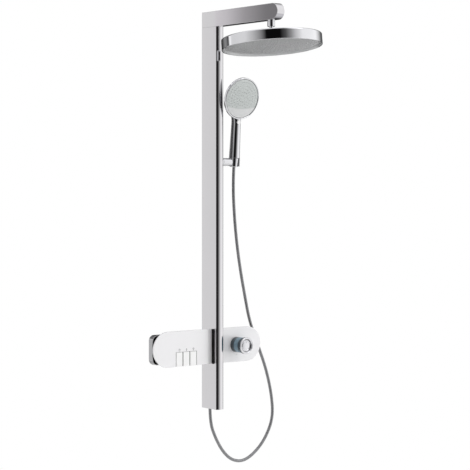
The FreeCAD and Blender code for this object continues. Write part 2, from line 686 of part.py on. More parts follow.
def hose_tube():
    points = [V(*p) for p in HOSE_ROUTE]
    radii_share = 0.45

    def arc_radius(before, corner, after, half_turn):
        shorter = min((corner - before).Length, (after - corner).Length)
        return radii_share * shorter / math.tan(half_turn)

    wire, radii = route_wire(points, arc_radius)
    tube = swept(wire, points[0], points[1] - points[0], HOSE_D / 2)
    section = math.pi * (HOSE_D / 2) ** 2
    print("hose length %.1f mm, volume / (section * length) %.4f" % (
        wire.Length, tube.Volume / (section * wire.Length)))
    print("hose radii " + " ".join("%.0f" % r for r in radii))
    return tube


# ---- write every piece ------------------------------------------------------------------------
PIECES = {
    "column_profile": column_profile, "column_end_plug": column_end_plug,
    "arm_profile": arm_profile, "arm_connector": arm_connector,
    "riser_pipe": riser_pipe, "hand_feed_pipe": hand_feed_pipe, "neck_stud": neck_stud,
    "ball_seat_ring": ball_seat_ring, "ball_nut": ball_nut, "head_shell": head_shell,
    "head_nozzle_mat": head_nozzle_mat, "head_face_plate": head_face_plate,
    "head_trim_ring": head_trim_ring, "valve_body": valve_body, "check_valves": check_valves,
    "key_pivot_pin": key_pivot_pin, "valve_cartridges": valve_cartridges,
    "thermostatic_cartridge": thermostatic_cartridge, "cartridge_nut": cartridge_nut,
    "knob_spindle": knob_spindle, "knob_sleeve": knob_sleeve, "knob_bezel": knob_bezel,
    "knob_cap": knob_cap, "knob_screw": knob_screw, "holder_stem": holder_stem,
    "holder_cone": holder_cone, "hose_cone_nut": hose_cone_nut, "handset_body": handset_body,
    "handset_rim": handset_rim, "handset_face": handset_face, "spray_button": spray_button,
    "button_spring": button_spring, "hose_tube": hose_tube, "hose_end_nut": hose_end_nut,
}


def main():
    for node, make in PIECES.items():
        save(make(), node)
    save(Part.makeCompound([grub_screw(y, z) for y, z in grub_places()]), "grub_screws")
    for word, z in zip(("top", "bottom"), BRACKET_Z):
        save(wall_bracket(z), "wall_bracket_" + word)
    for word, side in (("left", -1), ("right", 1)):
        save(panel_glass(side), "panel_glass_" + word)
        save(glass_carrier(side), "glass_carrier_" + word)
        save(casing(side), "casing_" + word)
        save(panel_seal(side), "panel_seal_" + word)
    for word, x in (("hot", -INLET_X), ("cold", INLET_X)):
        save(inlet_union(x), "inlet_union_" + word)
        save(escutcheon(x), "wall_escutcheon_" + word)
    for number, x in enumerate(key_centres(), 1):
        save(selector_key(x), "selector_key_%d" % number)
        save(valve_plunger(x), "valve_plunger_%d" % number)
        save(key_spring(x), "key_spring_%d" % number)


main()
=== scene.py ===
"""Rainfall shower column: the visible pieces, their finishes, the studio and the camera.

Every length is in metres in the shared frame, +X to the right, -Y towards the user, +Z up, with
the wall plane at Y 0. Profiles and named sizes in millimetres are scaled once, by mm() or MM.
"""
import json
import math
from dataclasses import dataclass

import bmesh
import bpy
from bpy.props import FloatProperty, FloatVectorProperty, IntProperty, PointerProperty
from bpy.types import Operator, Panel, PropertyGroup
from mathutils import Matrix, Vector


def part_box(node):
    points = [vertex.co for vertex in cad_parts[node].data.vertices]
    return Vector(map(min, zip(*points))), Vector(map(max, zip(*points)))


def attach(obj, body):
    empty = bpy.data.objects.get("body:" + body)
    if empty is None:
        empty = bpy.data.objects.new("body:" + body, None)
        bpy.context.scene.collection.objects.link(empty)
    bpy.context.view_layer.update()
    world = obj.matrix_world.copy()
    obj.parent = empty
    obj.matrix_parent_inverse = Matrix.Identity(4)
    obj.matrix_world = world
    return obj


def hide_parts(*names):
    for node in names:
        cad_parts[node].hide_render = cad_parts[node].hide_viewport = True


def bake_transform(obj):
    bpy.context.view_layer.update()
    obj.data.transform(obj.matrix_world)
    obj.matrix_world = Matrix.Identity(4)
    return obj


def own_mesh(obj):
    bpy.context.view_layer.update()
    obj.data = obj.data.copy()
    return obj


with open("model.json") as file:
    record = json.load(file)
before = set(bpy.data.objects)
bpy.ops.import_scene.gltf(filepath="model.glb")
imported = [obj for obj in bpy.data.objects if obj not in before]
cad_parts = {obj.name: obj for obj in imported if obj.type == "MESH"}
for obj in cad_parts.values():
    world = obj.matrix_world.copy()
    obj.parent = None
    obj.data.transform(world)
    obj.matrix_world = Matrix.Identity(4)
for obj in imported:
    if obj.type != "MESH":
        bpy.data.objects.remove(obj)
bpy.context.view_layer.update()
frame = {"nodes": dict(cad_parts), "record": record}

bl_info = {
    "name": "Rainfall Shower Column",
    "version": (1, 0, 0),
    "blender": (4, 5, 0),
    "location": "3D View > Sidebar > Shower",
    "description": "Builds the visible pieces, finishes and studio of a rainfall shower column",
    "category": "Object",
}

# ---- the frame's places ------------------------------------------------------------------------
MM = 0.001
X, Y, Z = Vector((1, 0, 0)), Vector((0, 1, 0)), Vector((0, 0, 1))
TOWARDS_USER = Matrix.Rotation(math.radians(90), 4, "X")
ALONG_X = Matrix.Rotation(math.radians(90), 4, "Y")
UPSIDE_DOWN = Matrix.Rotation(math.radians(180), 4, "X")
ROUND = 96
SHARP = math.radians(32)


def mm(*values):
    return Vector(values) * MM


def at(x, y, z):
    """Place at a point given in millimetres."""
    return Matrix.Translation(mm(x, y, z))


def joint(name):
    return next(j for j in frame["record"]["behaviour"]["joints"] if j["name"] == name)


def corners(node):
    """Lowest and highest corner of a node's box."""
    return [Vector(corner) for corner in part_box(node)]


def node_middle(node):
    low, high = corners(node)
    return (low + high) / 2


PIVOT = Vector(joint("overhead_tilt_front")["pos_m"])
HEAD_AXIS = Vector(joint("overhead_tilt_side")["axis"])
HEAD_LEAN = math.atan2(HEAD_AXIS.z, HEAD_AXIS.y)
HEAD_PLACE = Matrix.Translation(PIVOT) @ Matrix.Rotation(HEAD_LEAN, 4, "X")
LIFT_AXIS = Vector(joint("handset_lift")["axis"])
HOLDER_LEAN = math.atan2(-LIFT_AXIS.y, LIFT_AXIS.z)
HOLDER_PLACE = at(55.0, -51.0, 475.0) @ Matrix.Rotation(HOLDER_LEAN, 4, "X")
DISC_LEAN = math.radians(14)
DISC_PLACE = (Matrix.Translation(node_middle("handset_face")) @ Matrix.Rotation(DISC_LEAN, 4, "X")
              @ TOWARDS_USER)
KNOB_X = joint("temperature_knob")["pos_m"][0] / MM
KNOB_PLACE = at(KNOB_X, 0, 0) @ TOWARDS_USER
BUTTON_HEIGHT = 104.0
BUTTON_PLACE = HOLDER_PLACE @ at(0, 0, BUTTON_HEIGHT) @ TOWARDS_USER

HOSE_R = 4.0
# the hose's route, from the hand shower down, round and up into the column's foot
HOSE_ROUTE = [
    (0.0550, -0.0500, 0.4625), (0.0550, -0.0465, 0.4180), (0.0610, -0.0430, 0.3460),
    (0.0720, -0.0385, 0.2730), (0.0890, -0.0320, 0.1990), (0.1105, -0.0245, 0.1270),
    (0.1330, -0.0165, 0.0560), (0.1645, -0.0130, -0.0100), (0.1930, -0.0130, -0.0760),
    (0.2110, -0.0140, -0.1460), (0.2150, -0.0150, -0.2080), (0.1880, -0.0160, -0.2600),
    (0.1510, -0.0170, -0.2945), (0.1110, -0.0180, -0.3130), (0.0730, -0.0180, -0.3060),
    (0.0430, -0.0190, -0.2810), (0.0190, -0.0200, -0.2450), (0.0000, -0.0200, -0.2010),
    (0.0000, -0.0200, -0.1605),
]


# ---- settings a user may change ----------------------------------------------------------------
def length(name, description, default):
    return FloatProperty(name=name, description=description, default=default, min=0.0, unit="LENGTH",
                         precision=5)


def colour(name, description, default):
    return FloatVectorProperty(name=name, description=description, default=default, size=3, min=0.0,
                               max=1.0, subtype="COLOR")


class ShowerSizes(PropertyGroup):
    """Sizes of details that the frame leaves open."""

    edge: length("Metal edge", "Radius on the edges of metal pieces", 0.0005)
    glass_edge: length("Glass edge", "Radius of the ground edge of the glass", 0.0009)
    key_edge: length("Key edge", "Radius on the edges of the keys", 0.0008)
    head_ring_step: length("Nozzle ring step", "Distance between rings of nozzles overhead", 0.0096)
    head_nozzle: length("Overhead nozzle", "Radius of one overhead nozzle", 0.0010)
    hand_nozzle: length("Hand nozzle", "Radius of one hand shower nozzle", 0.0010)
    head_rings: IntProperty(name="Nozzle rings", description="Rings of nozzles overhead", default=11,
                            min=1)
    hose_pitch: length("Hose rib pitch", "Distance from one rib of the hose to the next", 0.0030)
    hose_groove: length("Hose groove", "Depth of the groove between two ribs of the hose", 0.00035)
    symbol: length("Key symbol", "Height of the printed symbol above each key", 0.0080)


class ShowerColours(PropertyGroup):
    """Colours of the finishes."""

    chrome: colour("Chrome", "Polished chrome", (0.68, 0.68, 0.70))
    satin: colour("Satin chrome", "Satin faces of the column and the arm", (0.625, 0.615, 0.63))
    glass: colour("White glass", "Lacquer behind the glass", (0.90, 0.895, 0.91))
    key: colour("Keys", "White keys", (0.97, 0.97, 0.97))
    face: colour("Spray face", "Grey face of the overhead shower", (0.27, 0.27, 0.275))
    hand_face: colour("Hand spray face", "Grey-green face of the hand shower", (0.56, 0.59, 0.58))
    sleeve: colour("Knob sleeve", "Slate blue sleeve of the knob", (0.15, 0.25, 0.32))
    hose: colour("Hose", "Silver grey hose", (0.28, 0.28, 0.29))
    print_ink: colour("Print", "Ink of the symbols on the glass", (0.10, 0.10, 0.11))


class StudioSettings(PropertyGroup):
    """Camera, floor and light."""

    azimuth: FloatProperty(name="Azimuth", description="Camera's angle left of straight on",
                           default=math.radians(38), subtype="ANGLE")
    distance: length("Distance", "Camera's distance from the column's axis", 4.138)
    aside: length("Aside", "Camera's offset to the right", 0.077)
    height: FloatProperty(name="Height", description="Camera's height", default=0.4233, unit="LENGTH")
    lens: FloatProperty(name="Lens", description="Focal length", default=121.8, unit="CAMERA")
    shift: FloatProperty(name="Shift", description="Vertical lens shift", default=-0.1128)
    floor_level: FloatProperty(name="Floor", description="Height of the floor", default=-1.05,
                               unit="LENGTH")
    floor_radius: length("Floor radius", "Radius of the round floor", 3.0)
    key_power: FloatProperty(name="Soft light", description="Power of the soft overhead light",
                             default=20.0, unit="POWER")
    fill_power: FloatProperty(name="Front fill", description="Power of each soft light in front",
                              default=14.0, unit="POWER")
    head_fill: FloatProperty(name="Light under the overhead shower", description="Power of that light",
                             default=7.5, unit="POWER")


# ---- shapes ------------------------------------------------------------------------------------
def slab(low, high):
    """Box between two corners."""
    bm = bmesh.new()
    bmesh.ops.create_cube(bm, size=1.0)
    low, high = Vector(low), Vector(high)
    bmesh.ops.scale(bm, vec=high - low, verts=bm.verts)
    bmesh.ops.translate(bm, vec=(low + high) / 2, verts=bm.verts)
    return bm


def arc(middle, radius, start, end, steps):
    """Points of a round stretch of a profile, angles in degrees from the outward direction."""
    turns = [math.radians(start + (end - start) * k / steps) for k in range(steps + 1)]
    return [(middle[0] + radius * math.cos(a), middle[1] + radius * math.sin(a)) for a in turns]


def turned(profile, closed=False, steps=ROUND):
    """Profile of (radius, height) pairs in millimetres spun about Z."""
    bm = bmesh.new()
    verts = [bm.verts.new(mm(r, 0, h)) for r, h in profile]
    pairs = list(zip(verts, verts[1:])) + ([(verts[-1], verts[0])] if closed else [])
    edges = [bm.edges.new(pair) for pair in pairs]
    bmesh.ops.spin(bm, geom=verts + edges, cent=(0, 0, 0), axis=(0, 0, 1), angle=2 * math.pi,
                   steps=steps, use_merge=True)
    bmesh.ops.remove_doubles(bm, verts=bm.verts, dist=1e-6)
    bmesh.ops.recalc_face_normals(bm, faces=bm.faces)
    return bm


def rod(radius, start, end, steps=64):
    """Plain round rod along Z from start to end, in millimetres."""
    return turned([(0, start), (radius, start), (radius, end), (0, end)], steps=steps)


def lofted(places, segments=48):
    """Skin over circles of radius 1, each set in its own place."""
    bm = bmesh.new()
    loops = []
    for place in places:
        verts = bmesh.ops.create_circle(bm, segments=segments, radius=1.0, matrix=place)["verts"]
        loops.append([e for e in bm.edges if e.verts[0] in verts and e.verts[1] in verts])
    for lower, upper in zip(loops, loops[1:]):
        bmesh.ops.bridge_loops(bm, edges=lower + upper)
    bmesh.ops.holes_fill(bm, edges=loops[0] + loops[-1], sides=0)
    bmesh.ops.recalc_face_normals(bm, faces=bm.faces)
    return bm


def moved(bm, place):
    bmesh.ops.transform(bm, matrix=place, verts=bm.verts)
    return bm


def middle_of(edge):
    return (edge.verts[0].co + edge.verts[1].co) / 2


def edges_along(bm, axis, test):
    """Edges that run along an axis and whose middle passes the test."""
    picked = []
    for edge in bm.edges:
        run = edge.verts[1].co - edge.verts[0].co
        if abs(run.dot(axis)) > 0.999 * run.length and test(middle_of(edge)):
            picked.append(edge)
    return picked


def rounded(bm, edges, radius, segments=6):
    bmesh.ops.bevel(bm, geom=edges, offset=radius, segments=segments, profile=0.5, affect="EDGES",
                    material=-1, clamp_overlap=True)
    bmesh.ops.remove_doubles(bm, verts=bm.verts, dist=1e-6)
    return bm


def softened(bm, radius, segments=2, angle=SHARP):
    """Every sharp corner of a shape taken off by a small radius."""
    edges = [e for e in bm.edges if len(e.link_faces) == 2 and e.calc_face_angle(0) > angle]
    return rounded(bm, edges, radius, segments)


def loose_object(bm, name):
    mesh = bpy.data.meshes.new(name)
    bm.to_mesh(mesh)
    bm.free()
    made = bpy.data.objects.new(name, mesh)
    bpy.context.scene.collection.objects.link(made)
    return made


def cut(bm, *tools):
    """The shape with the space of each tool taken out of it."""
    whole = loose_object(bm, "whole")
    cutters = [loose_object(tool, "cutter") for tool in tools]
    for cutter in cutters:
        step = whole.modifiers.new("cut", "BOOLEAN")
        step.operation = "DIFFERENCE"
        step.solver = "EXACT"
        step.object = cutter
    depsgraph = bpy.context.evaluated_depsgraph_get()
    mesh = bpy.data.meshes.new_from_object(whole.evaluated_get(depsgraph))
    result = bmesh.new()
    result.from_mesh(mesh)
    bpy.data.meshes.remove(mesh)
    for spent in [whole] + cutters:
        data = spent.data
        bpy.data.objects.remove(spent)
        bpy.data.meshes.remove(data)
    bmesh.ops.remove_doubles(result, verts=result.verts, dist=2e-6)
    bmesh.ops.dissolve_limit(result, angle_limit=math.radians(0.4), verts=result.verts,
                             edges=result.edges)
    return result


def joined(parts):
    """Several shapes as one."""
    whole = bmesh.new()
    for part in parts:
        mesh = bpy.data.meshes.new("part")
        part.to_mesh(mesh)
        part.free()
        whole.from_mesh(mesh)
        bpy.data.meshes.remove(mesh)
    return whole


def piece(name, bm, finish, body="root", nodes=(), place=None):
    """Turns a shape into a named piece with its finish, riding on its body."""
    if place:
        moved(bm, place)
    bmesh.ops.remove_doubles(bm, verts=bm.verts, dist=1e-6)
    bmesh.ops.recalc_face_normals(bm, faces=bm.faces)
    made = loose_object(bm, name)
    made.data.materials.append(bpy.data.materials[finish])
    made.data.shade_smooth()
    made.data.set_sharp_from_angle(angle=SHARP)
    made.modifiers.new("even shading", "WEIGHTED_NORMAL").keep_sharp = True
    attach(made, body)
    if nodes:
        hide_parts(*nodes)
    return made


# ---- finishes ----------------------------------------------------------------------------------
def group_of(name, inputs, outputs):
    group = bpy.data.node_groups.new(name, "ShaderNodeTree")
    for word, kind, value in inputs:
        socket = group.interface.new_socket(name=word, in_out="INPUT", socket_type=kind)
        if value is not None:
            socket.default_value = value
    for word, kind in outputs:
        group.interface.new_socket(name=word, in_out="OUTPUT", socket_type=kind)
    return group, group.nodes.new("NodeGroupInput"), group.nodes.new("NodeGroupOutput")


def math_node(tree, operation, *values, clamp=False):
    node = tree.nodes.new("ShaderNodeMath")
    node.operation = operation
    node.use_clamp = clamp
    for socket, value in zip(node.inputs, values):
        if hasattr(value, "links"):
            tree.links.new(value, socket)
        else:
            socket.default_value = value
    return node.outputs[0]


def noise(tree, vector, scale, detail, roughness=0.55):
    node = tree.nodes.new("ShaderNodeTexNoise")
    tree.links.new(vector, node.inputs["Vector"])
    if hasattr(scale, "links"):
        tree.links.new(scale, node.inputs["Scale"])
    else:
        node.inputs["Scale"].default_value = scale
    node.inputs["Detail"].default_value = detail
    node.inputs["Roughness"].default_value = roughness
    return node.outputs["Fac"]


def make_edge_tone():
    """Mask along sharp edges, broken up by noise."""
    group, given, result = group_of(
        "Edge tone",
        [("Vector", "NodeSocketVector", None), ("Width", "NodeSocketFloat", 0.0008),
         ("Gain", "NodeSocketFloat", 4.0)],
        [("Mask", "NodeSocketFloat")])
    links = group.links
    soft = group.nodes.new("ShaderNodeBevel")
    soft.samples = 4
    links.new(given.outputs["Width"], soft.inputs["Radius"])
    flat = group.nodes.new("ShaderNodeNewGeometry")
    dot = group.nodes.new("ShaderNodeVectorMath")
    dot.operation = "DOT_PRODUCT"
    links.new(soft.outputs["Normal"], dot.inputs[0])
    links.new(flat.outputs["Normal"], dot.inputs[1])
    edge = math_node(group, "SUBTRACT", 1.0, dot.outputs["Value"])
    edge = math_node(group, "MULTIPLY", edge, given.outputs["Gain"])
    broken = noise(group, given.outputs["Vector"], 260.0, 3.0)
    edge = math_node(group, "MULTIPLY", edge, broken, clamp=True)
    links.new(edge, result.inputs["Mask"])


def make_marks():
    """Faint wiped marks and dried spots, for roughness and tone."""
    group, given, result = group_of(
        "Wiped marks",
        [("Vector", "NodeSocketVector", None), ("Scale", "NodeSocketFloat", 18.0),
         ("Amount", "NodeSocketFloat", 0.05)],
        [("Roughness", "NodeSocketFloat"), ("Mask", "NodeSocketFloat")])
    wide = noise(group, given.outputs["Vector"], given.outputs["Scale"], 4.0)
    fine_scale = math_node(group, "MULTIPLY", given.outputs["Scale"], 14.0)
    spots = group.nodes.new("ShaderNodeTexVoronoi")
    group.links.new(given.outputs["Vector"], spots.inputs["Vector"])
    group.links.new(fine_scale, spots.inputs["Scale"])
    near = math_node(group, "LESS_THAN", spots.outputs["Distance"], 0.10)
    near = math_node(group, "MULTIPLY", near, math_node(group, "GREATER_THAN", wide, 0.58))
    mask = math_node(group, "ADD", wide, math_node(group, "MULTIPLY", near, 0.3), clamp=True)
    group.links.new(mask, result.inputs["Mask"])
    group.links.new(math_node(group, "MULTIPLY", mask, given.outputs["Amount"]),
                    result.inputs["Roughness"])


def make_grain():
    """Fine grain, stretched along one direction where the vector is scaled."""
    group, given, result = group_of(
        "Fine grain",
        [("Vector", "NodeSocketVector", None), ("Scale", "NodeSocketFloat", 900.0),
         ("Detail", "NodeSocketFloat", 3.0)],
        [("Height", "NodeSocketFloat")])
    node = group.nodes.new("ShaderNodeTexNoise")
    group.links.new(given.outputs["Vector"], node.inputs["Vector"])
    group.links.new(given.outputs["Scale"], node.inputs["Scale"])
    group.links.new(given.outputs["Detail"], node.inputs["Detail"])
    group.links.new(node.outputs["Fac"], result.inputs["Height"])


def placed_group(tree, name, vector, **values):
    node = tree.nodes.new("ShaderNodeGroup")
    node.node_tree = bpy.data.node_groups[name]
    tree.links.new(vector, node.inputs["Vector"])
    for word, value in values.items():
        node.inputs[word.capitalize()].default_value = value
    return node


def axes_of(tree, coordinate):
    """The three axes of a texture coordinate."""
    parts = tree.nodes.new("ShaderNodeSeparateXYZ")
    tree.links.new(tree.nodes.new("ShaderNodeTexCoord").outputs[coordinate], parts.inputs[0])
    return parts.outputs


def mixed(tree, factor, first, second):
    node = tree.nodes.new("ShaderNodeMix")
    node.data_type = "RGBA"
    tree.links.new(factor, node.inputs["Factor"])
    for value, socket in ((first, node.inputs["A"]), (second, node.inputs["B"])):
        if hasattr(value, "links"):
            tree.links.new(value, socket)
        else:
            socket.default_value = (*value, 1.0)
    return node.outputs["Result"]


@dataclass
class Finish:
    """What one finish is made of. Lengths are in metres, tones are shares of the base colour."""

    colour: tuple
    roughness: float
    metallic: float = 0.0
    coat: float = 0.0
    coat_roughness: float = 0.05
    specular: float = 0.5
    tone: float = 0.06
    marks: tuple = (18.0, 0.04)             # scale, amount
    grain: tuple = (900.0, 3.0, 0.04)       # scale, detail, strength
    stretch: tuple = (1, 1, 1)
    edge_tone: tuple = (0.0008, 3.0, 0.15)       # width, gain, change of tone
    sheen: float = 0.0


GRAIN_DEPTH = 0.0002


def shade(colour_value, share):
    return tuple(min(1.0, c * (1 + share)) for c in colour_value)


def make_material(name, finish):
    """Base colour with tone variation and a tone shift along sharp edges, roughness with marks, grain as
    bump.
    """
    plain = bpy.data.materials.get(name)
    if plain:
        bpy.data.materials.remove(plain)
    material = bpy.data.materials.new(name)
    material.use_nodes = True
    tree = material.node_tree
    shader = tree.nodes["Principled BSDF"]
    where = tree.nodes.new("ShaderNodeTexCoord").outputs["Object"]
    stretch = tree.nodes.new("ShaderNodeMapping")
    stretch.inputs["Scale"].default_value = finish.stretch
    tree.links.new(where, stretch.inputs["Vector"])
    marks = placed_group(tree, "Wiped marks", where, scale=finish.marks[0], amount=finish.marks[1])
    grain = placed_group(tree, "Fine grain", stretch.outputs["Vector"], scale=finish.grain[0],
                         detail=finish.grain[1])
    edge_tone = placed_group(tree, "Edge tone", where, width=finish.edge_tone[0], gain=finish.edge_tone[1])
    base = mixed(tree, marks.outputs["Mask"], shade(finish.colour, finish.tone),
                 shade(finish.colour, -finish.tone))
    # tone shifted along sharp edges by the finish's share, darker where the share is below zero
    edge_toned = mixed(tree, edge_tone.outputs["Mask"], base, shade(finish.colour, finish.edge_tone[2]))
    tree.links.new(edge_toned, shader.inputs["Base Color"])
    rough = math_node(tree, "ADD", marks.outputs["Roughness"], finish.roughness - finish.marks[1] / 2,
                      clamp=True)
    tree.links.new(rough, shader.inputs["Roughness"])
    bump = tree.nodes.new("ShaderNodeBump")
    bump.inputs["Strength"].default_value = finish.grain[2]
    bump.inputs["Distance"].default_value = GRAIN_DEPTH
    tree.links.new(grain.outputs["Height"], bump.inputs["Height"])
    tree.links.new(bump.outputs["Normal"], shader.inputs["Normal"])
    for word, value in (("Metallic", finish.metallic), ("Coat Weight", finish.coat),
                        ("Coat Roughness", finish.coat_roughness),
                        ("Specular IOR Level", finish.specular), ("Sheen Weight", finish.sheen)):
        shader.inputs[word].default_value = value


def finish_table(colours):
    """Every finish of the shower column by name."""
    chrome = tuple(colours.chrome)
    return {
        "polished_chrome": Finish(chrome, 0.05, 1.0, marks=(14.0, 0.03), grain=(160.0, 2.0, 0.01),
                                  edge_tone=(0.0006, 2.0, -0.10)),
        "satin_chrome": Finish(tuple(colours.satin), 0.045, 1.0, tone=0.03, marks=(7.0, 0.05),
                               grain=(1400.0, 2.0, 0.03), stretch=(1, 1, 0.02),
                               edge_tone=(0.0006, 2.0, 0.12)),
        "chromed_plastic": Finish(chrome, 0.06, 1.0, marks=(20.0, 0.03), grain=(90.0, 2.0, 0.012),
                                  edge_tone=(0.0006, 2.0, -0.08)),
        "white_glass": Finish(tuple(colours.glass), 0.10, coat=1.0, coat_roughness=0.02, tone=0.012,
                              marks=(9.0, 0.03), grain=(60.0, 1.0, 0.004), edge_tone=(0.0010, 3.0, -0.10)),
        "white_key": Finish(tuple(colours.key), 0.16, coat=0.6, coat_roughness=0.05, tone=0.012,
                            marks=(26.0, 0.05), grain=(700.0, 2.0, 0.01), edge_tone=(0.0006, 2.0, -0.10)),
        "black_seal": Finish((0.004, 0.004, 0.0045), 0.55, specular=0.15, tone=0.25, marks=(40.0, 0.10),
                             grain=(1500.0, 4.0, 0.10), edge_tone=(0.0008, 3.0, 1.2)),
        "grey_nozzle_plate": Finish(tuple(colours.face), 0.34, tone=0.05, marks=(22.0, 0.08),
                                    grain=(1200.0, 3.0, 0.06), edge_tone=(0.0006, 2.0, 0.10)),
        "hand_face": Finish(tuple(colours.hand_face), 0.28, coat=0.3, tone=0.04, marks=(36.0, 0.07),
                            grain=(1300.0, 3.0, 0.05), edge_tone=(0.0005, 2.0, 0.12)),
        "pale_plastic": Finish((0.70, 0.71, 0.71), 0.24, coat=0.2, tone=0.03, marks=(30.0, 0.05),
                               grain=(220.0, 2.0, 0.02), edge_tone=(0.0006, 0.6, 0.05)),
        "soft_grey": Finish((0.34, 0.345, 0.35), 0.20, coat=0.3, tone=0.03, marks=(24.0, 0.05),
                            grain=(200.0, 2.0, 0.02), edge_tone=(0.0006, 0.6, 0.05)),
        "dark_chrome": Finish((0.36, 0.36, 0.37), 0.10, 1.0, tone=0.04, marks=(20.0, 0.05),
                              grain=(160.0, 2.0, 0.012), edge_tone=(0.0008, 0.8, 0.10)),
        "silicone": Finish((0.36, 0.37, 0.37), 0.5, tone=0.08, marks=(60.0, 0.08),
                           grain=(1600.0, 3.0, 0.08), edge_tone=(0.0004, 2.0, 0.2), sheen=0.2),
        # black_plastic also colours the strips in the key gaps, which are painted shade
        "black_plastic": Finish((0.02, 0.02, 0.022), 0.38, tone=0.2, marks=(30.0, 0.10),
                                grain=(1400.0, 4.0, 0.12), edge_tone=(0.0008, 3.0, 1.0)),
        "nylon": Finish((0.80, 0.78, 0.72), 0.45, tone=0.06, marks=(50.0, 0.08),
                        grain=(900.0, 3.0, 0.06), edge_tone=(0.0006, 2.0, 0.08)),
        "brass": Finish((0.66, 0.47, 0.20), 0.30, 1.0, tone=0.12, marks=(30.0, 0.14),
                        grain=(600.0, 4.0, 0.08), stretch=(1, 1, 0.3), edge_tone=(0.0008, 3.0, 0.35)),
        "steel": Finish((0.50, 0.51, 0.53), 0.28, 1.0, tone=0.08, marks=(40.0, 0.12),
                        grain=(1500.0, 3.0, 0.08), stretch=(0.1, 1, 1), edge_tone=(0.0008, 3.0, 0.35)),
        "slate_blue": Finish(tuple(colours.sleeve), 0.22, coat=0.35, coat_roughness=0.06, tone=0.10,
                             marks=(34.0, 0.08), grain=(900.0, 3.0, 0.05), stretch=(1, 0.05, 1),
                             edge_tone=(0.0008, 3.0, 0.5)),
        # dark_slate: the knob's own dark band, and painted shadow on the skirt next to the glass
        "dark_slate": Finish(shade(tuple(colours.sleeve), -0.80), 0.30, coat=0.15, tone=0.10,
                             marks=(34.0, 0.08), grain=(900.0, 3.0, 0.05), edge_tone=(0.0006, 3.0, 0.8)),
        "hose_silver": Finish(tuple(colours.hose), 0.20, 1.0, tone=0.08, marks=(30.0, 0.10),
                              grain=(1100.0, 3.0, 0.05), edge_tone=(0.0006, 2.0, 0.15)),
        "print_ink": Finish(tuple(colours.print_ink), 0.5, tone=0.08, marks=(300.0, 0.1),
                            grain=(2500.0, 3.0, 0.05), edge_tone=(0.0001, 1.0, 0.1)),
        "floor": Finish((0.92, 0.92, 0.91), 0.55, tone=0.008, marks=(1.5, 0.06),
                        grain=(220.0, 3.0, 0.02), edge_tone=(0.001, 0.5, 0.02)),
    }


# ---- operators ---------------------------------------------------------------------------------
def sizes():
    return bpy.context.scene.shower_sizes


def studio():
    return bpy.context.scene.shower_studio


class SHOWER_OT_camera(Operator):
    """Places the camera"""

    bl_idname = "shower.camera"
    bl_label = "Camera"

    def execute(self, context):
        setup = studio()
        ahead = Vector((math.sin(setup.azimuth), math.cos(setup.azimuth), 0))
        right = Vector((math.cos(setup.azimuth), -math.sin(setup.azimuth), 0))
        data = bpy.data.cameras.new("camera")
        data.lens = setup.lens
        data.sensor_width = 36.0
        data.shift_y = setup.shift
        camera = bpy.data.objects.new("camera", data)
        camera.location = right * setup.aside - ahead * setup.distance + Z * setup.height
        camera.rotation_euler = (math.radians(90), 0, -setup.azimuth)
        context.scene.collection.objects.link(camera)
        context.scene.camera = camera
        return {"FINISHED"}


class SHOWER_OT_finishes(Operator):
    """Makes every finish and gives the frame's own nodes theirs"""

    bl_idname = "shower.finishes"
    bl_label = "Finishes"

    def execute(self, context):
        make_edge_tone()
        make_marks()
        make_grain()
        for name, finish in finish_table(context.scene.shower_colours).items():
            make_material(name, finish)
        for part in frame["record"]["subparts"]:
            node = frame["nodes"][part["node"]]
            node.data.materials.clear()
            node.data.materials.append(bpy.data.materials[part["material_slot"]])
        return {"FINISHED"}


def route_points(route):
    """Even points along the smooth line of a route."""
    data = bpy.data.curves.new("route", "CURVE")
    data.dimensions = "3D"
    data.resolution_u = 24
    line = data.splines.new("NURBS")
    line.points.add(len(route) - 1)
    for point, place in zip(line.points, route):
        point.co = (*place, 1.0)
    line.order_u = 3
    line.use_endpoint_u = True
    holder = bpy.data.objects.new("route", data)
    mesh = bpy.data.meshes.new_from_object(holder)
    points = [v.co.copy() for v in mesh.vertices]
    bpy.data.meshes.remove(mesh)
    bpy.data.objects.remove(holder)
    bpy.data.curves.remove(data)
    return points


def carried_along(bm, points):
    """Bends a straight shape on the Z axis so that its axis follows the points."""
    last = len(points) - 1
    stations = [0.0]
    for before, after in zip(points, points[1:]):
        stations.append(stations[-1] + (after - before).length)
    ways = []
    for k in range(len(points)):
        before, after = points[max(k - 1, 0)], points[min(k + 1, last)]
        ways.append((after - before).normalized())
    sides = [ways[0].orthogonal().normalized()]
    for way in ways[1:]:
        side = sides[-1] - way * sides[-1].dot(way)
        sides.append(side.normalized())
    whole = stations[-1]
    heights = sorted({round(v.co.z, 7) for v in bm.verts})
    tall = heights[-1]
    k = 0
    found = {}
    for height in heights:
        along = whole * height / tall
        while k < last - 1 and stations[k + 1] < along:
            k += 1
        share = (along - stations[k]) / (stations[k + 1] - stations[k])
        found[height] = (points[k].lerp(points[k + 1], share),
                         ways[k].lerp(ways[k + 1], share).normalized(),
                         sides[k].lerp(sides[k + 1], share).normalized())
    for vert in bm.verts:
        centre, way, side = found[round(vert.co.z, 7)]
        vert.co = centre + side * vert.co.x + way.cross(side) * vert.co.y


def length_of(points):
    """Length of a line of points, in millimetres."""
    return sum((b - a).length for a, b in zip(points, points[1:])) / MM


def coil(radius, wire, tall, turns):
    """Open spring standing on the origin, along Z."""
    steps = 24 * turns
    points = []
    for k in range(steps + 1):
        turn = 2 * math.pi * turns * k / steps
        points.append(mm(radius * math.cos(turn), radius * math.sin(turn),
                         wire + (tall - 2 * wire) * k / steps))
    whole = length_of(points)
    side = [(wire, whole * k / steps) for k in range(steps + 1)]
    bm = turned([(0, 0)] + side + [(0, whole)], steps=8)
    carried_along(bm, points)
    return bm


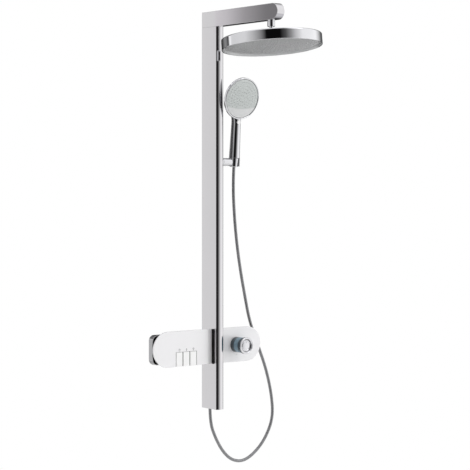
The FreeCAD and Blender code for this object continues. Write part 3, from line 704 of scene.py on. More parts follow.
class SHOWER_OT_hose(Operator):
    """Makes the ribbed hose from the hand shower to the column's foot"""

    bl_idname = "shower.hose"
    bl_label = "Hose"

    def execute(self, context):
        radius = HOSE_R
        groove = radius - sizes().hose_groove / MM
        pitch = sizes().hose_pitch / MM
        points = route_points(HOSE_ROUTE)
        whole = length_of(points)
        ribs = int(whole / pitch)
        slope = 0.30 * pitch
        profile = [(0, 0), (radius, 0)]
        for k in range(1, ribs):
            base = whole * k / ribs
            profile += [(radius, base - slope), (groove, base), (radius, base + slope)]
        profile += [(radius, whole), (0, whole)]
        bm = turned(profile, steps=24)
        carried_along(bm, points)
        hose = piece("hose", bm, "hose_silver", "root", ["hose_tube"])
        self.declare(hose, points, whole * MM, radius)
        return {"FINISHED"}

    def declare(self, hose, points, whole, radius):
        """Unparents the hose and bakes its place into its mesh."""
        hose.parent = None
        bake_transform(hose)


class SHOWER_OT_column(Operator):
    """Makes the column, the arm and the neck under it"""

    bl_idname = "shower.column"
    bl_label = "Column and arm"

    def execute(self, context):
        low, high = corners("column_profile")
        self.column(low, high)
        arm_low, arm_high = corners("arm_profile")
        nose = (arm_high.z - arm_low.z) / 2
        arm = slab(arm_low, arm_high)
        rounded(arm, edges_along(arm, X, lambda m: m.y < arm_low.y + nose), nose, 32)
        piece("arm", softened(arm, sizes().edge * 1.4, 3), "satin_chrome", nodes=["arm_profile"])
        self.neck()
        return {"FINISHED"}

    def column(self, low, high):
        """Hollow flat section with a gently crowned front."""
        wall = 1.8 * MM
        crown = 4.2 * MM
        half = (high.x - low.x) / 2
        radius = (half * half + crown * crown) / (2 * crown)
        bm = bmesh.new()
        swing = math.asin(half / radius)
        start = bm.verts.new((-half, low.y + crown, low.z))
        centre = (0, low.y + radius, low.z)
        bmesh.ops.spin(bm, geom=[start], cent=centre, axis=(0, 0, 1), angle=2 * swing, steps=20)
        bm.verts.ensure_lookup_table()
        front = sorted(bm.verts, key=lambda v: v.co.x)
        back = [bm.verts.new((half, 0, low.z)), bm.verts.new((-half, 0, low.z))]
        section = bm.faces.new(front + back)
        grown = bmesh.ops.extrude_face_region(bm, geom=[section])
        lifted = [g for g in grown["geom"] if isinstance(g, bmesh.types.BMVert)]
        bmesh.ops.translate(bm, vec=(0, 0, high.z - low.z), verts=lifted)
        bmesh.ops.recalc_face_normals(bm, faces=bm.faces)
        inner_low = Vector((low.x + wall, low.y + crown + wall / 2, low.z - wall))
        inner_high = Vector((high.x - wall, -wall, high.z + wall))
        valve_back = corners("valve_body")[1].y
        gap, slot_deep, slot_half = MM, 20 * MM, 16 * MM
        slot_low = Vector((low.x - wall, valve_back - gap - slot_deep, -slot_half))
        slot_high = Vector((high.x + wall, valve_back + gap, slot_half))
        bm = cut(bm, slab(inner_low, inner_high), slab(slot_low, slot_high))
        softened(bm, sizes().edge * 0.5, 2, math.radians(60))
        piece("column", bm, "satin_chrome", nodes=["column_profile"])

    def neck(self):
        """Ball, stud and barrel, with a groove under the arm."""
        ball, stud, barrel, thread = 11.0, 4.5, 9.5, 6.0
        shoulder, under_arm, inside = 16.5, 33.0, 62.0
        groove = barrel - 0.5
        profile = arc((0, 0), ball, -90, 62, 16) + [
            (stud, ball), (stud, shoulder), (barrel - 0.8, shoulder), (barrel, shoulder + 0.8),
            (barrel, under_arm - 4.0), (groove, under_arm - 3.6), (groove, under_arm - 3.0),
            (barrel, under_arm - 2.6), (barrel, under_arm), (thread, under_arm), (thread, inside),
            (0, inside)]
        piece("neck", turned(profile), "polished_chrome", nodes=["neck_stud"],
              place=Matrix.Translation(PIVOT))


# overhead shower, in millimetres from the middle of its ball
HEAD_R, HEAD_LOW, HEAD_HIGH = 125.0, -35.6, -8.6
HEAD_STEPS = 160
SEAT_CLEAR = 13.1


class SHOWER_OT_overhead(Operator):
    """Makes the overhead shower with its ring, face and nozzles"""

    bl_idname = "shower.overhead"
    bl_label = "Overhead shower"

    def execute(self, context):
        self.cover()
        self.swivel_nut()
        self.face()
        return {"FINISHED"}

    def cover(self):
        seat = arc((0, 0), SEAT_CLEAR, -90, -6, 10)
        boss, wall, boss_low = 16.5, 2.1, -17.5
        inner = HEAD_R - wall
        profile = seat + [
            (boss, -1.3), (boss, HEAD_HIGH + 1.0), (boss + 3.0, HEAD_HIGH)] + arc(
            (HEAD_R - 3.0, HEAD_HIGH - 3.0), 3.0, 90, 0, 8) + [
            (HEAD_R, HEAD_LOW + 0.8), (HEAD_R - 0.6, HEAD_LOW), (inner + 0.4, HEAD_LOW),
            (inner, HEAD_LOW + 0.4), (inner, HEAD_HIGH - 2.0), (boss, HEAD_HIGH - 2.0),
            (boss, boss_low), (0, boss_low)]
        piece("head_cover", turned(profile, steps=HEAD_STEPS), "chromed_plastic", "overhead",
              ["head_shell"], place=HEAD_PLACE)

    def swivel_nut(self):
        outer, top = 17.5, 11.0
        profile = arc((0, 0), SEAT_CLEAR, -5, 46, 8) + [
            (8.8, 10.2), (9.4, top), (outer - 1.5, top), (outer - 0.4, top - 0.4), (outer, top - 1.5),
            (outer, 4.0), (outer - 0.5, 3.5), (outer - 0.5, 2.6), (outer, 2.1), (outer, -1.1)]
        piece("swivel_nut", turned(profile, closed=True), "polished_chrome", "overhead", ["ball_nut"],
              place=HEAD_PLACE)

    def face(self):
        ring_out, ring_in = HEAD_R - 2.2, HEAD_R - 9.0
        low = HEAD_LOW + 0.3
        top = low + 5.8
        ring = turned([(ring_out, low), (ring_out, top), (ring_in, top), (ring_in, low + 4.3),
                       (ring_out - 1.4, low)], closed=True, steps=HEAD_STEPS)
        piece("head_ring", softened(ring, 0.3 * MM), "soft_grey", "overhead", ["head_trim_ring"],
              place=HEAD_PLACE)
        plate_low, plate_r = HEAD_LOW + 4.6, ring_in - 0.4
        plate = turned([(0, plate_low), (ring_in - 3.0, plate_low), (ring_in - 2.4, plate_low + 0.4),
                        (plate_r, plate_low + 0.4), (plate_r, plate_low + 2.6),
                        (0, plate_low + 2.6)], steps=HEAD_STEPS)
        piece("head_face", plate, "grey_nozzle_plate", "overhead", ["head_face_plate"],
              place=HEAD_PLACE)
        nozzles = []
        for ring_number in range(1, sizes().head_rings + 1):
            radius = ring_number * sizes().head_ring_step
            nozzles += self.ring_of_nozzles(radius, 6 * ring_number, plate_low)
        piece("head_nozzles", joined(nozzles), "silicone", "overhead", place=HEAD_PLACE)

    def ring_of_nozzles(self, radius, count, base):
        made = []
        for k in range(count):
            turn = 2 * math.pi * k / count
            made.append(nozzle(sizes().head_nozzle / MM, 1.3, Matrix.Rotation(turn, 4, "Z") @
                               Matrix.Translation((radius, 0, base * MM)) @ UPSIDE_DOWN))
        return made


def nozzle(radius, tall, place):
    """Small tapered nozzle along Z."""
    profile = [(radius * 1.25, -0.2), (radius, 0.4), (radius * 0.7, tall), (radius * 0.3, tall),
               (0, tall - 0.5)]
    return moved(turned(profile, steps=8), place)


# control bar, in millimetres
BAR_HALF = 45.0          # half height of the glass
KEY_TOP = -9.0
PIPE_ROOM_HALF = 19.0    # half height of the room for the valve inside the casing
CORNERS = {-1: 14.0, 1: 24.0}


def bar_half(side, far, half, corner, y_back, y_front):
    """Left (-1) or right (+1) part of the bar, out to far, in millimetres, with rounded corners."""
    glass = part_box("panel_glass_left" if side < 0 else "panel_glass_right")
    near = min(abs(glass[0][0]), abs(glass[1][0])) / MM
    ends = sorted((side * near, side * far))
    bm = slab(mm(ends[0], y_front, -half), mm(ends[1], y_back, half))
    outer = side * far * MM
    return rounded(bm, edges_along(bm, Y, lambda m: abs(m.x - outer) < MM), corner * MM, 40)


def reach_of(box):
    """How far a box goes to the side from the column's middle, in millimetres."""
    return max(abs(box[0][0]), abs(box[1][0])) / MM


class SHOWER_OT_bar(Operator):
    """Makes the glass control bar with its casing, seals and printed symbols"""

    bl_idname = "shower.bar"
    bl_label = "Control bar"

    def execute(self, context):
        for word, side in (("left", -1), ("right", 1)):
            self.glass(word, side)
            self.casing(word, side)
            self.seal(word)
        self.painted_shade_strips()
        self.symbols()
        return {"FINISHED"}

    def painted_shade_strips(self):
        """Black strips in the four narrow gaps beside and between the keys, as painted shade that
        darkens the gaps.
        """
        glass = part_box("panel_glass_left")
        keys = [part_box("selector_key_%d" % number) for number in (1, 2, 3)]
        gap = keys[1][0][0] - keys[0][1][0]
        edges = [keys[0][0][0] - gap / 4] + [(a[1][0] + b[0][0]) / 2 for a, b in zip(keys, keys[1:])]
        edges.append(keys[2][1][0] + gap / 4)
        front, back = glass[0][1] + 0.6 * MM, glass[0][1] + 3.4 * MM
        strips = []
        for place, share in zip(edges, (0.15, 0.32, 0.32, 0.15)):
            half = gap * share
            strips.append(slab(Vector((place - half, front, keys[0][0][2] + 0.5 * MM)),
                               Vector((place + half, back, keys[0][1][2] - 0.2 * MM))))
        # painted shade: black strips that darken the gaps around the keys
        piece("key_gap_strips", joined(strips), "black_plastic")

    def glass(self, word, side):
        low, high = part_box("panel_glass_" + word)
        front, back = low[1] / MM, high[1] / MM
        plate = bar_half(side, reach_of((low, high)), BAR_HALF, BAR_HALF, back, front)
        if side > 0:
            hole = moved(rod(17.0, 0, 30), at(KNOB_X, back + 5, 0) @ TOWARDS_USER)
            plate = cut(plate, hole)
        else:
            plate = cut(plate, key_notch(front - 2, back + 2))
        softened(plate, sizes().glass_edge, 3)
        piece("glass_" + word, plate, "white_glass", nodes=["panel_glass_" + word])

    def casing(self, word, side):
        low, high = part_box("casing_" + word)
        front, back = low[1] / MM, high[1] / MM
        wall, corner = 1.5, CORNERS[side]
        half = high[2] / MM
        far = reach_of((low, high))
        shell = bar_half(side, far, half, corner, back, front)
        rim = [e for e in shell.edges if abs(middle_of(e).y - back * MM) < 1e-6]
        rounded(shell, rim, 1.4 * MM, 4)
        inner = bar_half(side, far - wall, half - wall, corner - wall, back - wall, front - wall)
        room = slab(mm(-152, back - 2 * wall, -PIPE_ROOM_HALF), mm(114, back + wall, PIPE_ROOM_HALF))
        shell = cut(shell, inner, room)
        if side < 0:
            shell = cut(shell, key_notch(front - 2, -30.5))
        softened(shell, 0.25 * MM, 1, math.radians(60))
        piece("bar_casing_" + word, shell, "dark_chrome", nodes=["casing_" + word])

    def seal(self, word):
        low, high = corners("panel_seal_" + word)
        strip = slab(low, high)
        rounded(strip, edges_along(strip, X, lambda m: True), 3.5 * MM, 8)
        piece("seal_" + word, softened(strip, 0.35 * MM), "black_seal", nodes=["panel_seal_" + word])

    def symbols(self):
        """A generic symbol above each key and a tick below the knob, as thin print on the glass."""
        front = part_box("panel_glass_left")[0][1] / MM
        for number in (1, 2, 3):
            middle = node_middle("selector_key_%d" % number).x / MM
            ink = joined(symbol(number, sizes().symbol / MM))
            piece("key_symbol_%d" % number, ink, "print_ink",
                  place=at(middle, front, -3.6) @ TOWARDS_USER)
        tick = joined([dash(0, 0, 0.7, 3.4)] + [dot(x, 0.4, 0.35) for x in (-4.5, 4.5)])
        piece("knob_tick", tick, "print_ink",
              place=at(KNOB_X, front, -26.5) @ TOWARDS_USER)


PRINT = 0.06


def dot(x, y, radius):
    return moved(rod(radius, -PRINT, PRINT, 16), at(x, y, 0))


def dash(x, y, wide, tall):
    return slab(mm(x - wide / 2, y - tall / 2, -PRINT), mm(x + wide / 2, y + tall / 2, PRINT))


def hoop(x, y, radius, line=0.8):
    ring = turned([(radius - line, -PRINT), (radius, -PRINT), (radius, PRINT), (radius - line, PRINT)],
                  closed=True, steps=24)
    return moved(ring, at(x, y, 0))


def symbol(number, tall):
    """Overhead spray, hand spray, or both, drawn with a few bars, dots and a hoop."""
    rose = [dash(0, 0.30 * tall, 0.8 * tall, 0.8), dash(0, 0.42 * tall, 0.8, 0.2 * tall)]
    rain = [dot(x * tall, y * tall, 0.45) for x in (-0.28, 0, 0.28) for y in (0.1, -0.12, -0.34)]
    hand = [hoop(0, 0.18 * tall, 0.24 * tall), dash(0, -0.24 * tall, 1.0, 0.38 * tall)]
    if number == 1:
        return rose + rain
    if number == 2:
        return hand
    return rose + rain[::3] + [hoop(0, -0.22 * tall, 0.17 * tall)]


def key_notch(y_from, y_to):
    """Space of the three keys, cut out of the bar's plates from its lower edge up."""
    first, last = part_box("selector_key_1"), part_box("selector_key_3")
    gap = (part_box("selector_key_2")[0][0] - first[1][0]) / MM / 2
    low = mm(first[0][0] / MM - gap, y_from, -BAR_HALF - 2)
    high = mm(last[1][0] / MM + gap, y_to, KEY_TOP + 0.5)
    return slab(low, high)


PIN_BORE = 1.55
SPRING_TURNS = 3


class SHOWER_OT_keys(Operator):
    """Makes the three push keys"""

    bl_idname = "shower.keys"
    bl_label = "Keys"

    def execute(self, context):
        for number in (1, 2, 3):
            node = "selector_key_%d" % number
            low, high = corners(node)
            top = KEY_TOP * MM
            back = low.y + 8.0 * MM
            plate = slab((low.x, low.y, low.z), (high.x, back, top))
            softened(plate, sizes().key_edge, 3)
            inset = 3.0 * MM
            arm_front = low.y + 4.6 * MM
            arm = slab((low.x + inset, arm_front, top - 5 * MM), (high.x - inset, high.y, high.z))
            pin = Matrix.Translation(joint("key_%d_press" % number)["pos_m"])
            bore = moved(rod(PIN_BORE, -20, 20, 24), pin @ ALONG_X)
            arm = softened(cut(arm, bore), 0.4 * MM, 2)
            piece("key_%d_cap" % number, joined([plate, arm]), "white_key", "key_%d" % number, [node])
        return {"FINISHED"}


class SHOWER_OT_springs(Operator):
    """Makes the return springs behind the keys and behind the hand shower's button"""

    bl_idname = "shower.springs"
    bl_label = "Return springs"

    def execute(self, context):
        for number in (1, 2, 3):
            low, high = corners("key_spring_%d" % number)
            foot = Vector(((low.x + high.x) / 2, high.y, (low.z + high.z) / 2))
            self.spring("key_%d_spring" % number, "root", "key_spring_%d" % number,
                        Matrix.Translation(foot), (4.8, 0.3, (high.y - low.y) / MM),
                        "key_%d_press" % number, 0.40)
        self.spring("button_return", "handset", "button_spring",
                    HOLDER_PLACE @ at(0, -5.1, BUTTON_HEIGHT), (2.8, 0.15, 3.1), "spray_select", 0.34)
        return {"FINISHED"}

    def spring(self, name, body, node, foot, sizes_mm, joint_name, keep):
        radius, wire, tall = sizes_mm
        made = piece(name, coil(radius, wire, tall, SPRING_TURNS), "steel", body, [node],
                     place=foot @ TOWARDS_USER)
        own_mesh(made)


# temperature knob, in millimetres from its axis and from the wall plane
KNOB_R, KNOB_BORE, COLLAR_R = 20.0, 17.2, 21.5
SKIRT_BACK, SLEEVE_BACK, BAND_BACK, BEZEL_BACK = 44.6, 58.0, 74.0, 80.0
CAP_R, BEZEL_IN = 14.8, 16.05


class SHOWER_OT_knob(Operator):
    """Makes the temperature knob"""

    bl_idname = "shower.knob"
    bl_label = "Temperature knob"

    def execute(self, context):
        for name, finish, slot, nodes, edge, profile in self.rings():
            ring = turned(profile, closed=True)
            if edge:
                softened(ring, edge * MM, 1)
            piece(name, ring, finish, "knob", nodes, KNOB_PLACE)
        self.button()
        return {"FINISHED"}

    def rings(self):
        """Name, finish, slot, nodes, edge radius and profile of each ring, from the wall outwards."""
        base, last = BAND_BACK, BEZEL_BACK - 0.1
        hub, inside, thin = 4.05, 17.0, 18.4
        skirt = [(KNOB_BORE, SKIRT_BACK), (KNOB_R - 0.6, SKIRT_BACK), (KNOB_R, SKIRT_BACK + 0.6),
                 (KNOB_R, SLEEVE_BACK), (KNOB_BORE, SLEEVE_BACK)]
        sleeve = [(hub, last), (hub, base - 1), (inside, base - 1), (inside, SLEEVE_BACK + 0.2),
                  (KNOB_R - 0.3, SLEEVE_BACK + 0.2), (KNOB_R, SLEEVE_BACK + 0.5), (KNOB_R, base - 0.4),
                  (KNOB_R - 0.3, base), (thin, base), (thin, last)]
        collar = [(COLLAR_R - 1, 80.2), (COLLAR_R - 0.3, 80.2), (COLLAR_R, 80.6), (COLLAR_R, 86.4),
                  (COLLAR_R - 1, 86.4)]
        band = [(thin + 0.1, base + 0.3), (KNOB_R - 0.2, base + 0.3), (KNOB_R, base + 0.6),
                (KNOB_R, last), (thin + 0.1, last)]
        bezel = [(BEZEL_IN, 80.05), (20.4, 80.05), (20.4, 86.5), (COLLAR_R, 86.5)] + arc(
            (20.1, 87.1), 1.4, 0, 90, 6) + arc((18.6, 86.9), 1.6, 90, 165, 5) + [(BEZEL_IN, 84.2)]
        gap = [(CAP_R + 0.1, 80.3), (BEZEL_IN - 0.1, 80.3), (BEZEL_IN - 0.1, 84.2), (CAP_R + 0.1, 84.2)]
        # the dark slate skirt next to the glass is painted shadow where the knob meets the glass; the
        # dark band is the knob's own grip band
        return [("knob_skirt_painted_shadow", "dark_slate", "slate_blue", [], 0.2, skirt),
                ("knob_barrel", "slate_blue", None, ["knob_sleeve"], 0.15, sleeve),
                ("knob_collar", "dark_slate", "slate_blue", [], 0, collar),
                ("knob_band", "dark_slate", "slate_blue", [], 0, band),
                ("knob_ring", "polished_chrome", None, ["knob_bezel"], 0, bezel),
                ("knob_gap", "dark_chrome", "polished_chrome", [], 0, gap)]

    def button(self):
        """Dished cap in the middle of the bezel, with its small printed mark."""
        cap = turned([(0, 80.3), (CAP_R, 80.3), (CAP_R, 84.6), (14.2, 85.3), (13.0, 85.5), (12.6, 84.6),
                      (11.8, 84.6), (11.4, 85.4), (10.0, 85.9), (0, 86.3)])
        piece("knob_button", softened(cap, 0.15 * MM, 1), "chromed_plastic", "knob", ["knob_cap"],
              place=KNOB_PLACE)
        mark = moved(rod(1.1, 86.1, 86.45, 24), at(0, 8.0, -0.35))
        piece("knob_mark", mark, "print_ink", "knob", place=KNOB_PLACE)


class SHOWER_OT_holder(Operator):
    """Makes the holder that carries the hand shower"""

    bl_idname = "shower.holder"
    bl_label = "Holder"

    def execute(self, context):
        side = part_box("column_profile")[1][0] / MM
        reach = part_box("holder_stem")[1][0] / MM
        spigot, stem_r, groove = 5.9, 10.0, 9.6
        stem = turned([(0, side - 4), (spigot, side - 4), (spigot, side), (stem_r, side),
                       (stem_r, side + 2.0), (groove, side + 2.4), (groove, side + 3.0),
                       (stem_r, side + 3.4), (stem_r, reach), (0, reach)])
        block = moved(rod(14.55, -22, 22, ROUND), HOLDER_PLACE)
        middle = node_middle("holder_stem")
        stem = cut(moved(stem, at(0, middle.y / MM, middle.z / MM) @ ALONG_X), block)
        piece("holder_arm", softened(stem, 0.2 * MM, 2), "polished_chrome", nodes=["holder_stem"])
        half, outer = 11.0, 14.5
        cup = turned([(10.6, -half), (outer, -half), (outer, half), (12.4, half)], closed=True)
        slot = slab(mm(-6.5, -20, -14), mm(6.5, 0, 14))
        piece("holder_cup", softened(cut(cup, slot), 0.7 * MM, 3), "polished_chrome",
              nodes=["holder_cone"], place=HOLDER_PLACE)
        nut = turned([(3.0, -12.4), (9.4, -12.4), (10.1, -11.7), (10.3, -9.5), (12.0, 9.8), (11.6, 10.5),
                      (3.0, 10.5)], closed=True)
        piece("hose_nut", softened(nut, 0.3 * MM, 2), "polished_chrome", "handset", ["hose_cone_nut"],
              place=HOLDER_PLACE)
        return {"FINISHED"}


# hand shower's disc, in millimetres from the back of its face
RIM_R, RIM_IN, FACE_R, FACE_FRONT = 54.5, 51.2, 50.4, 8.2
DISC_STEPS = 128
NOZZLE_RINGS = (8, 14, 22, 30, 38)


class SHOWER_OT_handset(Operator):
    """Makes the hand shower: handle, head, ring, face, nozzles and button"""

    bl_idname = "shower.handset"
    bl_label = "Hand shower"

    def execute(self, context):
        self.body()
        self.head()
        self.face()
        self.button()
        return {"FINISHED"}

    def body(self):
        """Tapered handle that flares into the shallow back shell of the disc."""
        low, top, steps = 11.3, 136.0, 26
        thick, taper, flare_from = 13.9, 2.6, 0.74
        places = []
        for k in range(steps + 1):
            share = k / steps
            tall = low + (top - low) * share
            flare = max(0.0, (share - flare_from) / (1 - flare_from)) ** 1.8
            wide = thick - taper * share + 15.0 * flare
            deep = thick - taper * share - 4.6 * flare
            section = Matrix.Diagonal((wide * MM, deep * MM, 1, 1))
            places.append(HOLDER_PLACE @ at(0, -1.5 * flare, tall) @ section)
        handle = lofted(places)
        pocket = moved(rod(5.8, 5.2, 20.0, 40), BUTTON_PLACE)
        handle = softened(cut(handle, pocket), 0.4 * MM, 3)
        shell = turned(arc((0, 152.0), 160.0, -90, -70.4, 18) + [
            (RIM_R - 0.3, 2.0), (RIM_R, 2.6), (RIM_R, 3.05), (51.0, 3.05), (51.0, 1.5), (0, 1.5)],
                       steps=DISC_STEPS)
        piece("hand_body", joined([handle, moved(shell, DISC_PLACE)]), "chromed_plastic", "handset",
              ["handset_body"])

    def head(self):
        lip = 2.0
        rim = turned(arc((RIM_R - lip, 7.0), lip, 0, 90, 8) + [
            (52.0, 9.0), (51.4, 8.6), (RIM_IN, 8.0), (RIM_IN, 3.1), (RIM_R, 3.1)], closed=True,
                     steps=DISC_STEPS)
        piece("hand_rim", rim, "chromed_plastic", "handset", ["handset_rim"], place=DISC_PLACE)

    def face(self):
        outer, front = FACE_R, FACE_FRONT
        segment_edge, segment_r = -27.0, 190.0
        disc = turned([(0, 3.3), (outer, 3.3), (outer, front - 0.5), (outer - 0.5, front), (0, front)],
                      steps=DISC_STEPS)
        upper_side = moved(rod(segment_r, -2, 12, 160), at(0, segment_edge + segment_r, 0))
        lower = cut(disc.copy(), upper_side)
        piece("hand_face", disc, "hand_face", "handset", ["handset_face"],
              place=DISC_PLACE)
        groove_in, groove_out = FACE_R + 0.1, RIM_IN - 0.05
        groove = turned([(groove_in, 4.0), (groove_out, 4.0), (groove_out, 7.2), (groove_in, 7.2)],
                        closed=True, steps=DISC_STEPS)
        piece("hand_groove", groove, "black_plastic", "handset", place=DISC_PLACE)
        piece("hand_face_foot", moved(softened(lower, 0.25 * MM, 2), at(0, 0, 0.35)), "pale_plastic",
              "handset", place=DISC_PLACE)
        nozzles = []
        for number, count in enumerate(NOZZLE_RINGS, 1):
            radius = 8.6 * number
            for k in range(count):
                turn = 2 * math.pi * (k + 0.5 * (number % 2)) / count
                x, y = radius * math.cos(turn), radius * math.sin(turn)
                foot_edge = segment_edge + segment_r - math.sqrt(segment_r ** 2 - x * x)
                if y > foot_edge + 3.0:
                    nozzles.append(nozzle(sizes().hand_nozzle / MM, 1.3, at(x, y, front)))
        piece("hand_nozzles", joined(nozzles), "hand_face", "handset",
              place=DISC_PLACE)

    def button(self):
        front, cap_r = 13.0, 5.5
        cap = turned([(0, front - 4.6), (cap_r, front - 4.6), (cap_r, front - 0.6), (5.0, front - 0.1),
                      (4.2, front), (2.5, front - 0.25), (0, front - 0.4)])
        piece("hand_button", cap, "white_key", "button", ["spray_button"],
              place=BUTTON_PLACE)


class SHOWER_OT_wall_side(Operator):
    """Makes the round wall covers behind the control bar"""

    bl_idname = "shower.wall_side"
    bl_label = "Wall covers"

    def execute(self, context):
        for word in ("hot", "cold"):
            low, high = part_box("wall_escutcheon_" + word)
            outer = (high[0] - low[0]) / 2 / MM
            middle = (low[0] + high[0]) / 2 / MM
            bore, tall = 15.5, 7.0
            dish = turned([(bore, 0), (outer, 0), (outer, 0.8), (outer - 1.0, 2.2), (25.5, 6.2),
                           (23.5, tall), (bore, tall)], closed=True)
            piece("wall_cover_" + word, softened(dish, 0.3 * MM, 2), "polished_chrome",
                  nodes=["wall_escutcheon_" + word], place=at(middle, 0, 0) @ TOWARDS_USER)
        return {"FINISHED"}


LAMPS_AIM = Vector((0, 0, 0.3))
UNDER_HEAD = Vector((0.35, -0.20, -0.34))        # from the overhead shower's ball to its own light
FLAG_WIDE, FLAG_TALL = 0.21, 0.11
FLAG_SHIFT, FLAG_AWAY, FLAG_RISE = 0.055, 0.60, 0.09


class SHOWER_OT_studio(Operator):
    """Makes the floor, the soft light and the surroundings"""

    bl_idname = "shower.studio"
    bl_label = "Studio"

    def execute(self, context):
        setup = studio()
        bm = bmesh.new()
        bmesh.ops.create_circle(bm, cap_ends=True, segments=128, radius=setup.floor_radius,
                                matrix=Matrix.Translation((0, 0, setup.floor_level)))
        floor = loose_object(bm, "floor")
        floor.data.materials.append(bpy.data.materials["floor"])
        self.surroundings(context, setup)
        self.lamp(context, "soft_light", "AREA", setup.key_power, (1.0, -2.6, 3.0), LAMPS_AIM, size=2.0)
        for name, place in (("fill_left", (-2.2, -2.6, 0.6)), ("fill_right", (2.4, -2.2, 0.4))):
            fill = self.lamp(context, name, "AREA", setup.fill_power, place, LAMPS_AIM, size=1.6)
            fill.visible_glossy = False
        under = self.lamp(context, "under_head", "SPOT", setup.head_fill, PIVOT + UNDER_HEAD, PIVOT,
                          spot_size=math.radians(44), spot_blend=0.6, shadow_soft_size=0.08)
        under.visible_glossy = False
        self.flag(context)
        context.scene.view_settings.view_transform = "Standard"
        return {"FINISHED"}

    def lamp(self, context, name, kind, power, place, aim, **shape):
        """Light of a kind at a place, turned to where it aims."""
        light = bpy.data.lights.new(name, kind)
        light.energy = power
        for word, value in shape.items():
            setattr(light, word, value)
        made = bpy.data.objects.new(name, light)
        made.location = place
        made.rotation_euler = (aim - made.location).to_track_quat("-Z", "Y").to_euler()
        context.scene.collection.objects.link(made)
        return made

    def flag(self, context):
        """Graded card beside the arm, seen only in reflections, that deepens the arm's side."""
        arm_low, arm_high = corners("arm_profile")
        away = Vector((-math.sin(studio().azimuth), math.cos(studio().azimuth),
                       FLAG_RISE)).normalized()
        across = Vector((away.y, -away.x, 0)).normalized()
        start = Vector((arm_low.x, arm_low.y, (arm_low.z + arm_high.z) / 2))
        middle = start + away * FLAG_AWAY + across * FLAG_SHIFT
        turn = Matrix((across, away.cross(across), away)).transposed().to_4x4()
        bm = bmesh.new()
        bmesh.ops.create_grid(bm, x_segments=1, y_segments=1, size=0.5)
        bmesh.ops.scale(bm, vec=(FLAG_WIDE, FLAG_TALL, 1), verts=bm.verts)
        card = loose_object(bm, "flag")
        card.matrix_world = Matrix.Translation(middle) @ turn
        card.data.materials.append(self.graded_card())
        card.visible_camera = card.visible_diffuse = card.visible_shadow = False

    def graded_card(self):
        material = bpy.data.materials.new("graded_card")
        material.use_nodes = True
        tree = material.node_tree
        tree.nodes.clear()
        parts = axes_of(tree, "Object")
        share = math_node(tree, "ADD", math_node(tree, "DIVIDE", parts["X"], FLAG_WIDE), 0.5)
        ramp = tree.nodes.new("ShaderNodeValToRGB")
        steps = [(0.0, 0.25), (0.32, 0.29), (0.61, 0.50), (0.85, 0.81), (1.0, 0.92)]
        dots = ramp.color_ramp.elements
        for dot_at, level in steps[1:-1]:
            dots.new(dot_at)
        for stop, (dot_at, level) in zip(sorted(dots, key=lambda e: e.position), steps):
            stop.color = (level, level * 0.975, level, 1.0)
        tree.links.new(share, ramp.inputs["Fac"])
        glow = tree.nodes.new("ShaderNodeEmission")
        tree.links.new(ramp.outputs["Color"], glow.inputs["Color"])
        out = tree.nodes.new("ShaderNodeOutputMaterial")
        tree.links.new(glow.outputs[0], out.inputs["Surface"])
        return material

    def surroundings(self, context, setup):
        """White surroundings with a dark gap behind the camera and low behind the wall."""
        world = bpy.data.worlds.new("studio")
        context.scene.world = world
        world.use_nodes = True
        tree = world.node_tree
        parts = axes_of(tree, "Generated")
        turn = math_node(tree, "ARCTAN2", parts["X"], parts["Y"])
        turn = math_node(tree, "SUBTRACT", turn, setup.azimuth - math.pi)
        turn = math_node(tree, "WRAP", math_node(tree, "MULTIPLY", turn, -1.0), math.pi, -math.pi)
        share = math_node(tree, "ADD", math_node(tree, "DIVIDE", turn, 2 * math.pi), 0.5)
        ramp = tree.nodes.new("ShaderNodeValToRGB")
        tree.links.new(share, ramp.inputs["Fac"])
        self.fill_ramp(ramp.color_ramp)
        rise = math_node(tree, "MULTIPLY", math_node(tree, "SUBTRACT", parts["Z"], 0.5), 2.5,
                         clamp=True)
        bright = mixed(tree, rise, ramp.outputs["Color"], (1.15, 1.15, 1.16))
        seen = tree.nodes.new("ShaderNodeLightPath").outputs["Is Camera Ray"]
        shown = mixed(tree, seen, bright, (1.0, 1.0, 1.0))
        tree.links.new(shown, tree.nodes["Background"].inputs["Color"])

    def fill_ramp(self, ramp):
        """Brightness of the surroundings by turn from the camera's side, in degrees to its right."""
        stops = [(-180, 0.03), (-155, 0.04), (-145, 0.15), (-134, 0.34), (-124, 0.22), (-118, 0.02),
                 (-112, 1.35), (-104, 0.92), (-64, 0.92), (-44, 0.62), (-28, 0.34), (-14, 0.005),
                 (18, 0.005), (31, 0.10), (44, 0.36), (56, 0.72), (74, 1.15), (118, 1.3), (134, 0.7),
                 (148, 0.15), (180, 0.03)]
        while len(ramp.elements) < len(stops):
            ramp.elements.new(0.5)
        for element, (angle, value) in zip(ramp.elements, stops):
            element.position = angle / 360 + 0.5
            element.color = (value, value, value, 1.0)


class SHOWER_PT_panel(Panel):
    """Lists the steps that build the shower column"""

    bl_idname = "SHOWER_PT_panel"
    bl_label = "Shower column"
    bl_space_type = "VIEW_3D"
    bl_region_type = "UI"
    bl_category = "Shower"

    def draw(self, context):
        for step in STEPS:
            self.layout.operator(step.bl_idname)
        scene = context.scene
        for group in (scene.shower_sizes, scene.shower_colours, scene.shower_studio):
            box = self.layout.box()
            for word in group.__annotations__:
                box.prop(group, word)


STEPS = (SHOWER_OT_camera, SHOWER_OT_finishes, SHOWER_OT_hose, SHOWER_OT_column, SHOWER_OT_overhead,
         SHOWER_OT_bar, SHOWER_OT_keys, SHOWER_OT_springs, SHOWER_OT_knob, SHOWER_OT_holder,
         SHOWER_OT_handset, SHOWER_OT_wall_side, SHOWER_OT_studio)
CLASSES = (ShowerSizes, ShowerColours, StudioSettings) + STEPS + (SHOWER_PT_panel,)


def register():
    for item in CLASSES:
        bpy.utils.register_class(item)
    bpy.types.Scene.shower_sizes = PointerProperty(type=ShowerSizes)
    bpy.types.Scene.shower_colours = PointerProperty(type=ShowerColours)
    bpy.types.Scene.shower_studio = PointerProperty(type=StudioSettings)


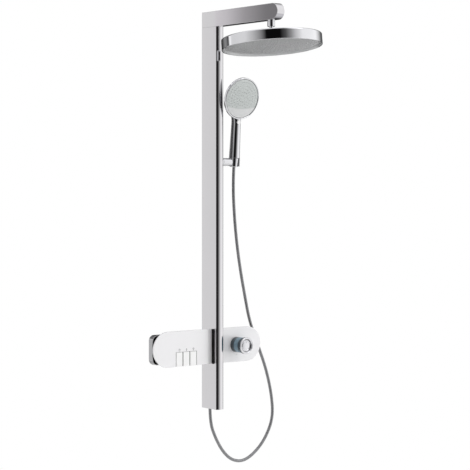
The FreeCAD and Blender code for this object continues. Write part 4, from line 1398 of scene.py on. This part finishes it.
def unregister():
    del bpy.types.Scene.shower_studio
    del bpy.types.Scene.shower_colours
    del bpy.types.Scene.shower_sizes
    for item in reversed(CLASSES):
        bpy.utils.unregister_class(item)


def main():
    register()
    for step in STEPS:
        group, name = step.bl_idname.split(".")
        getattr(getattr(bpy.ops, group), name)()


if __name__ == "__main__":
    main()
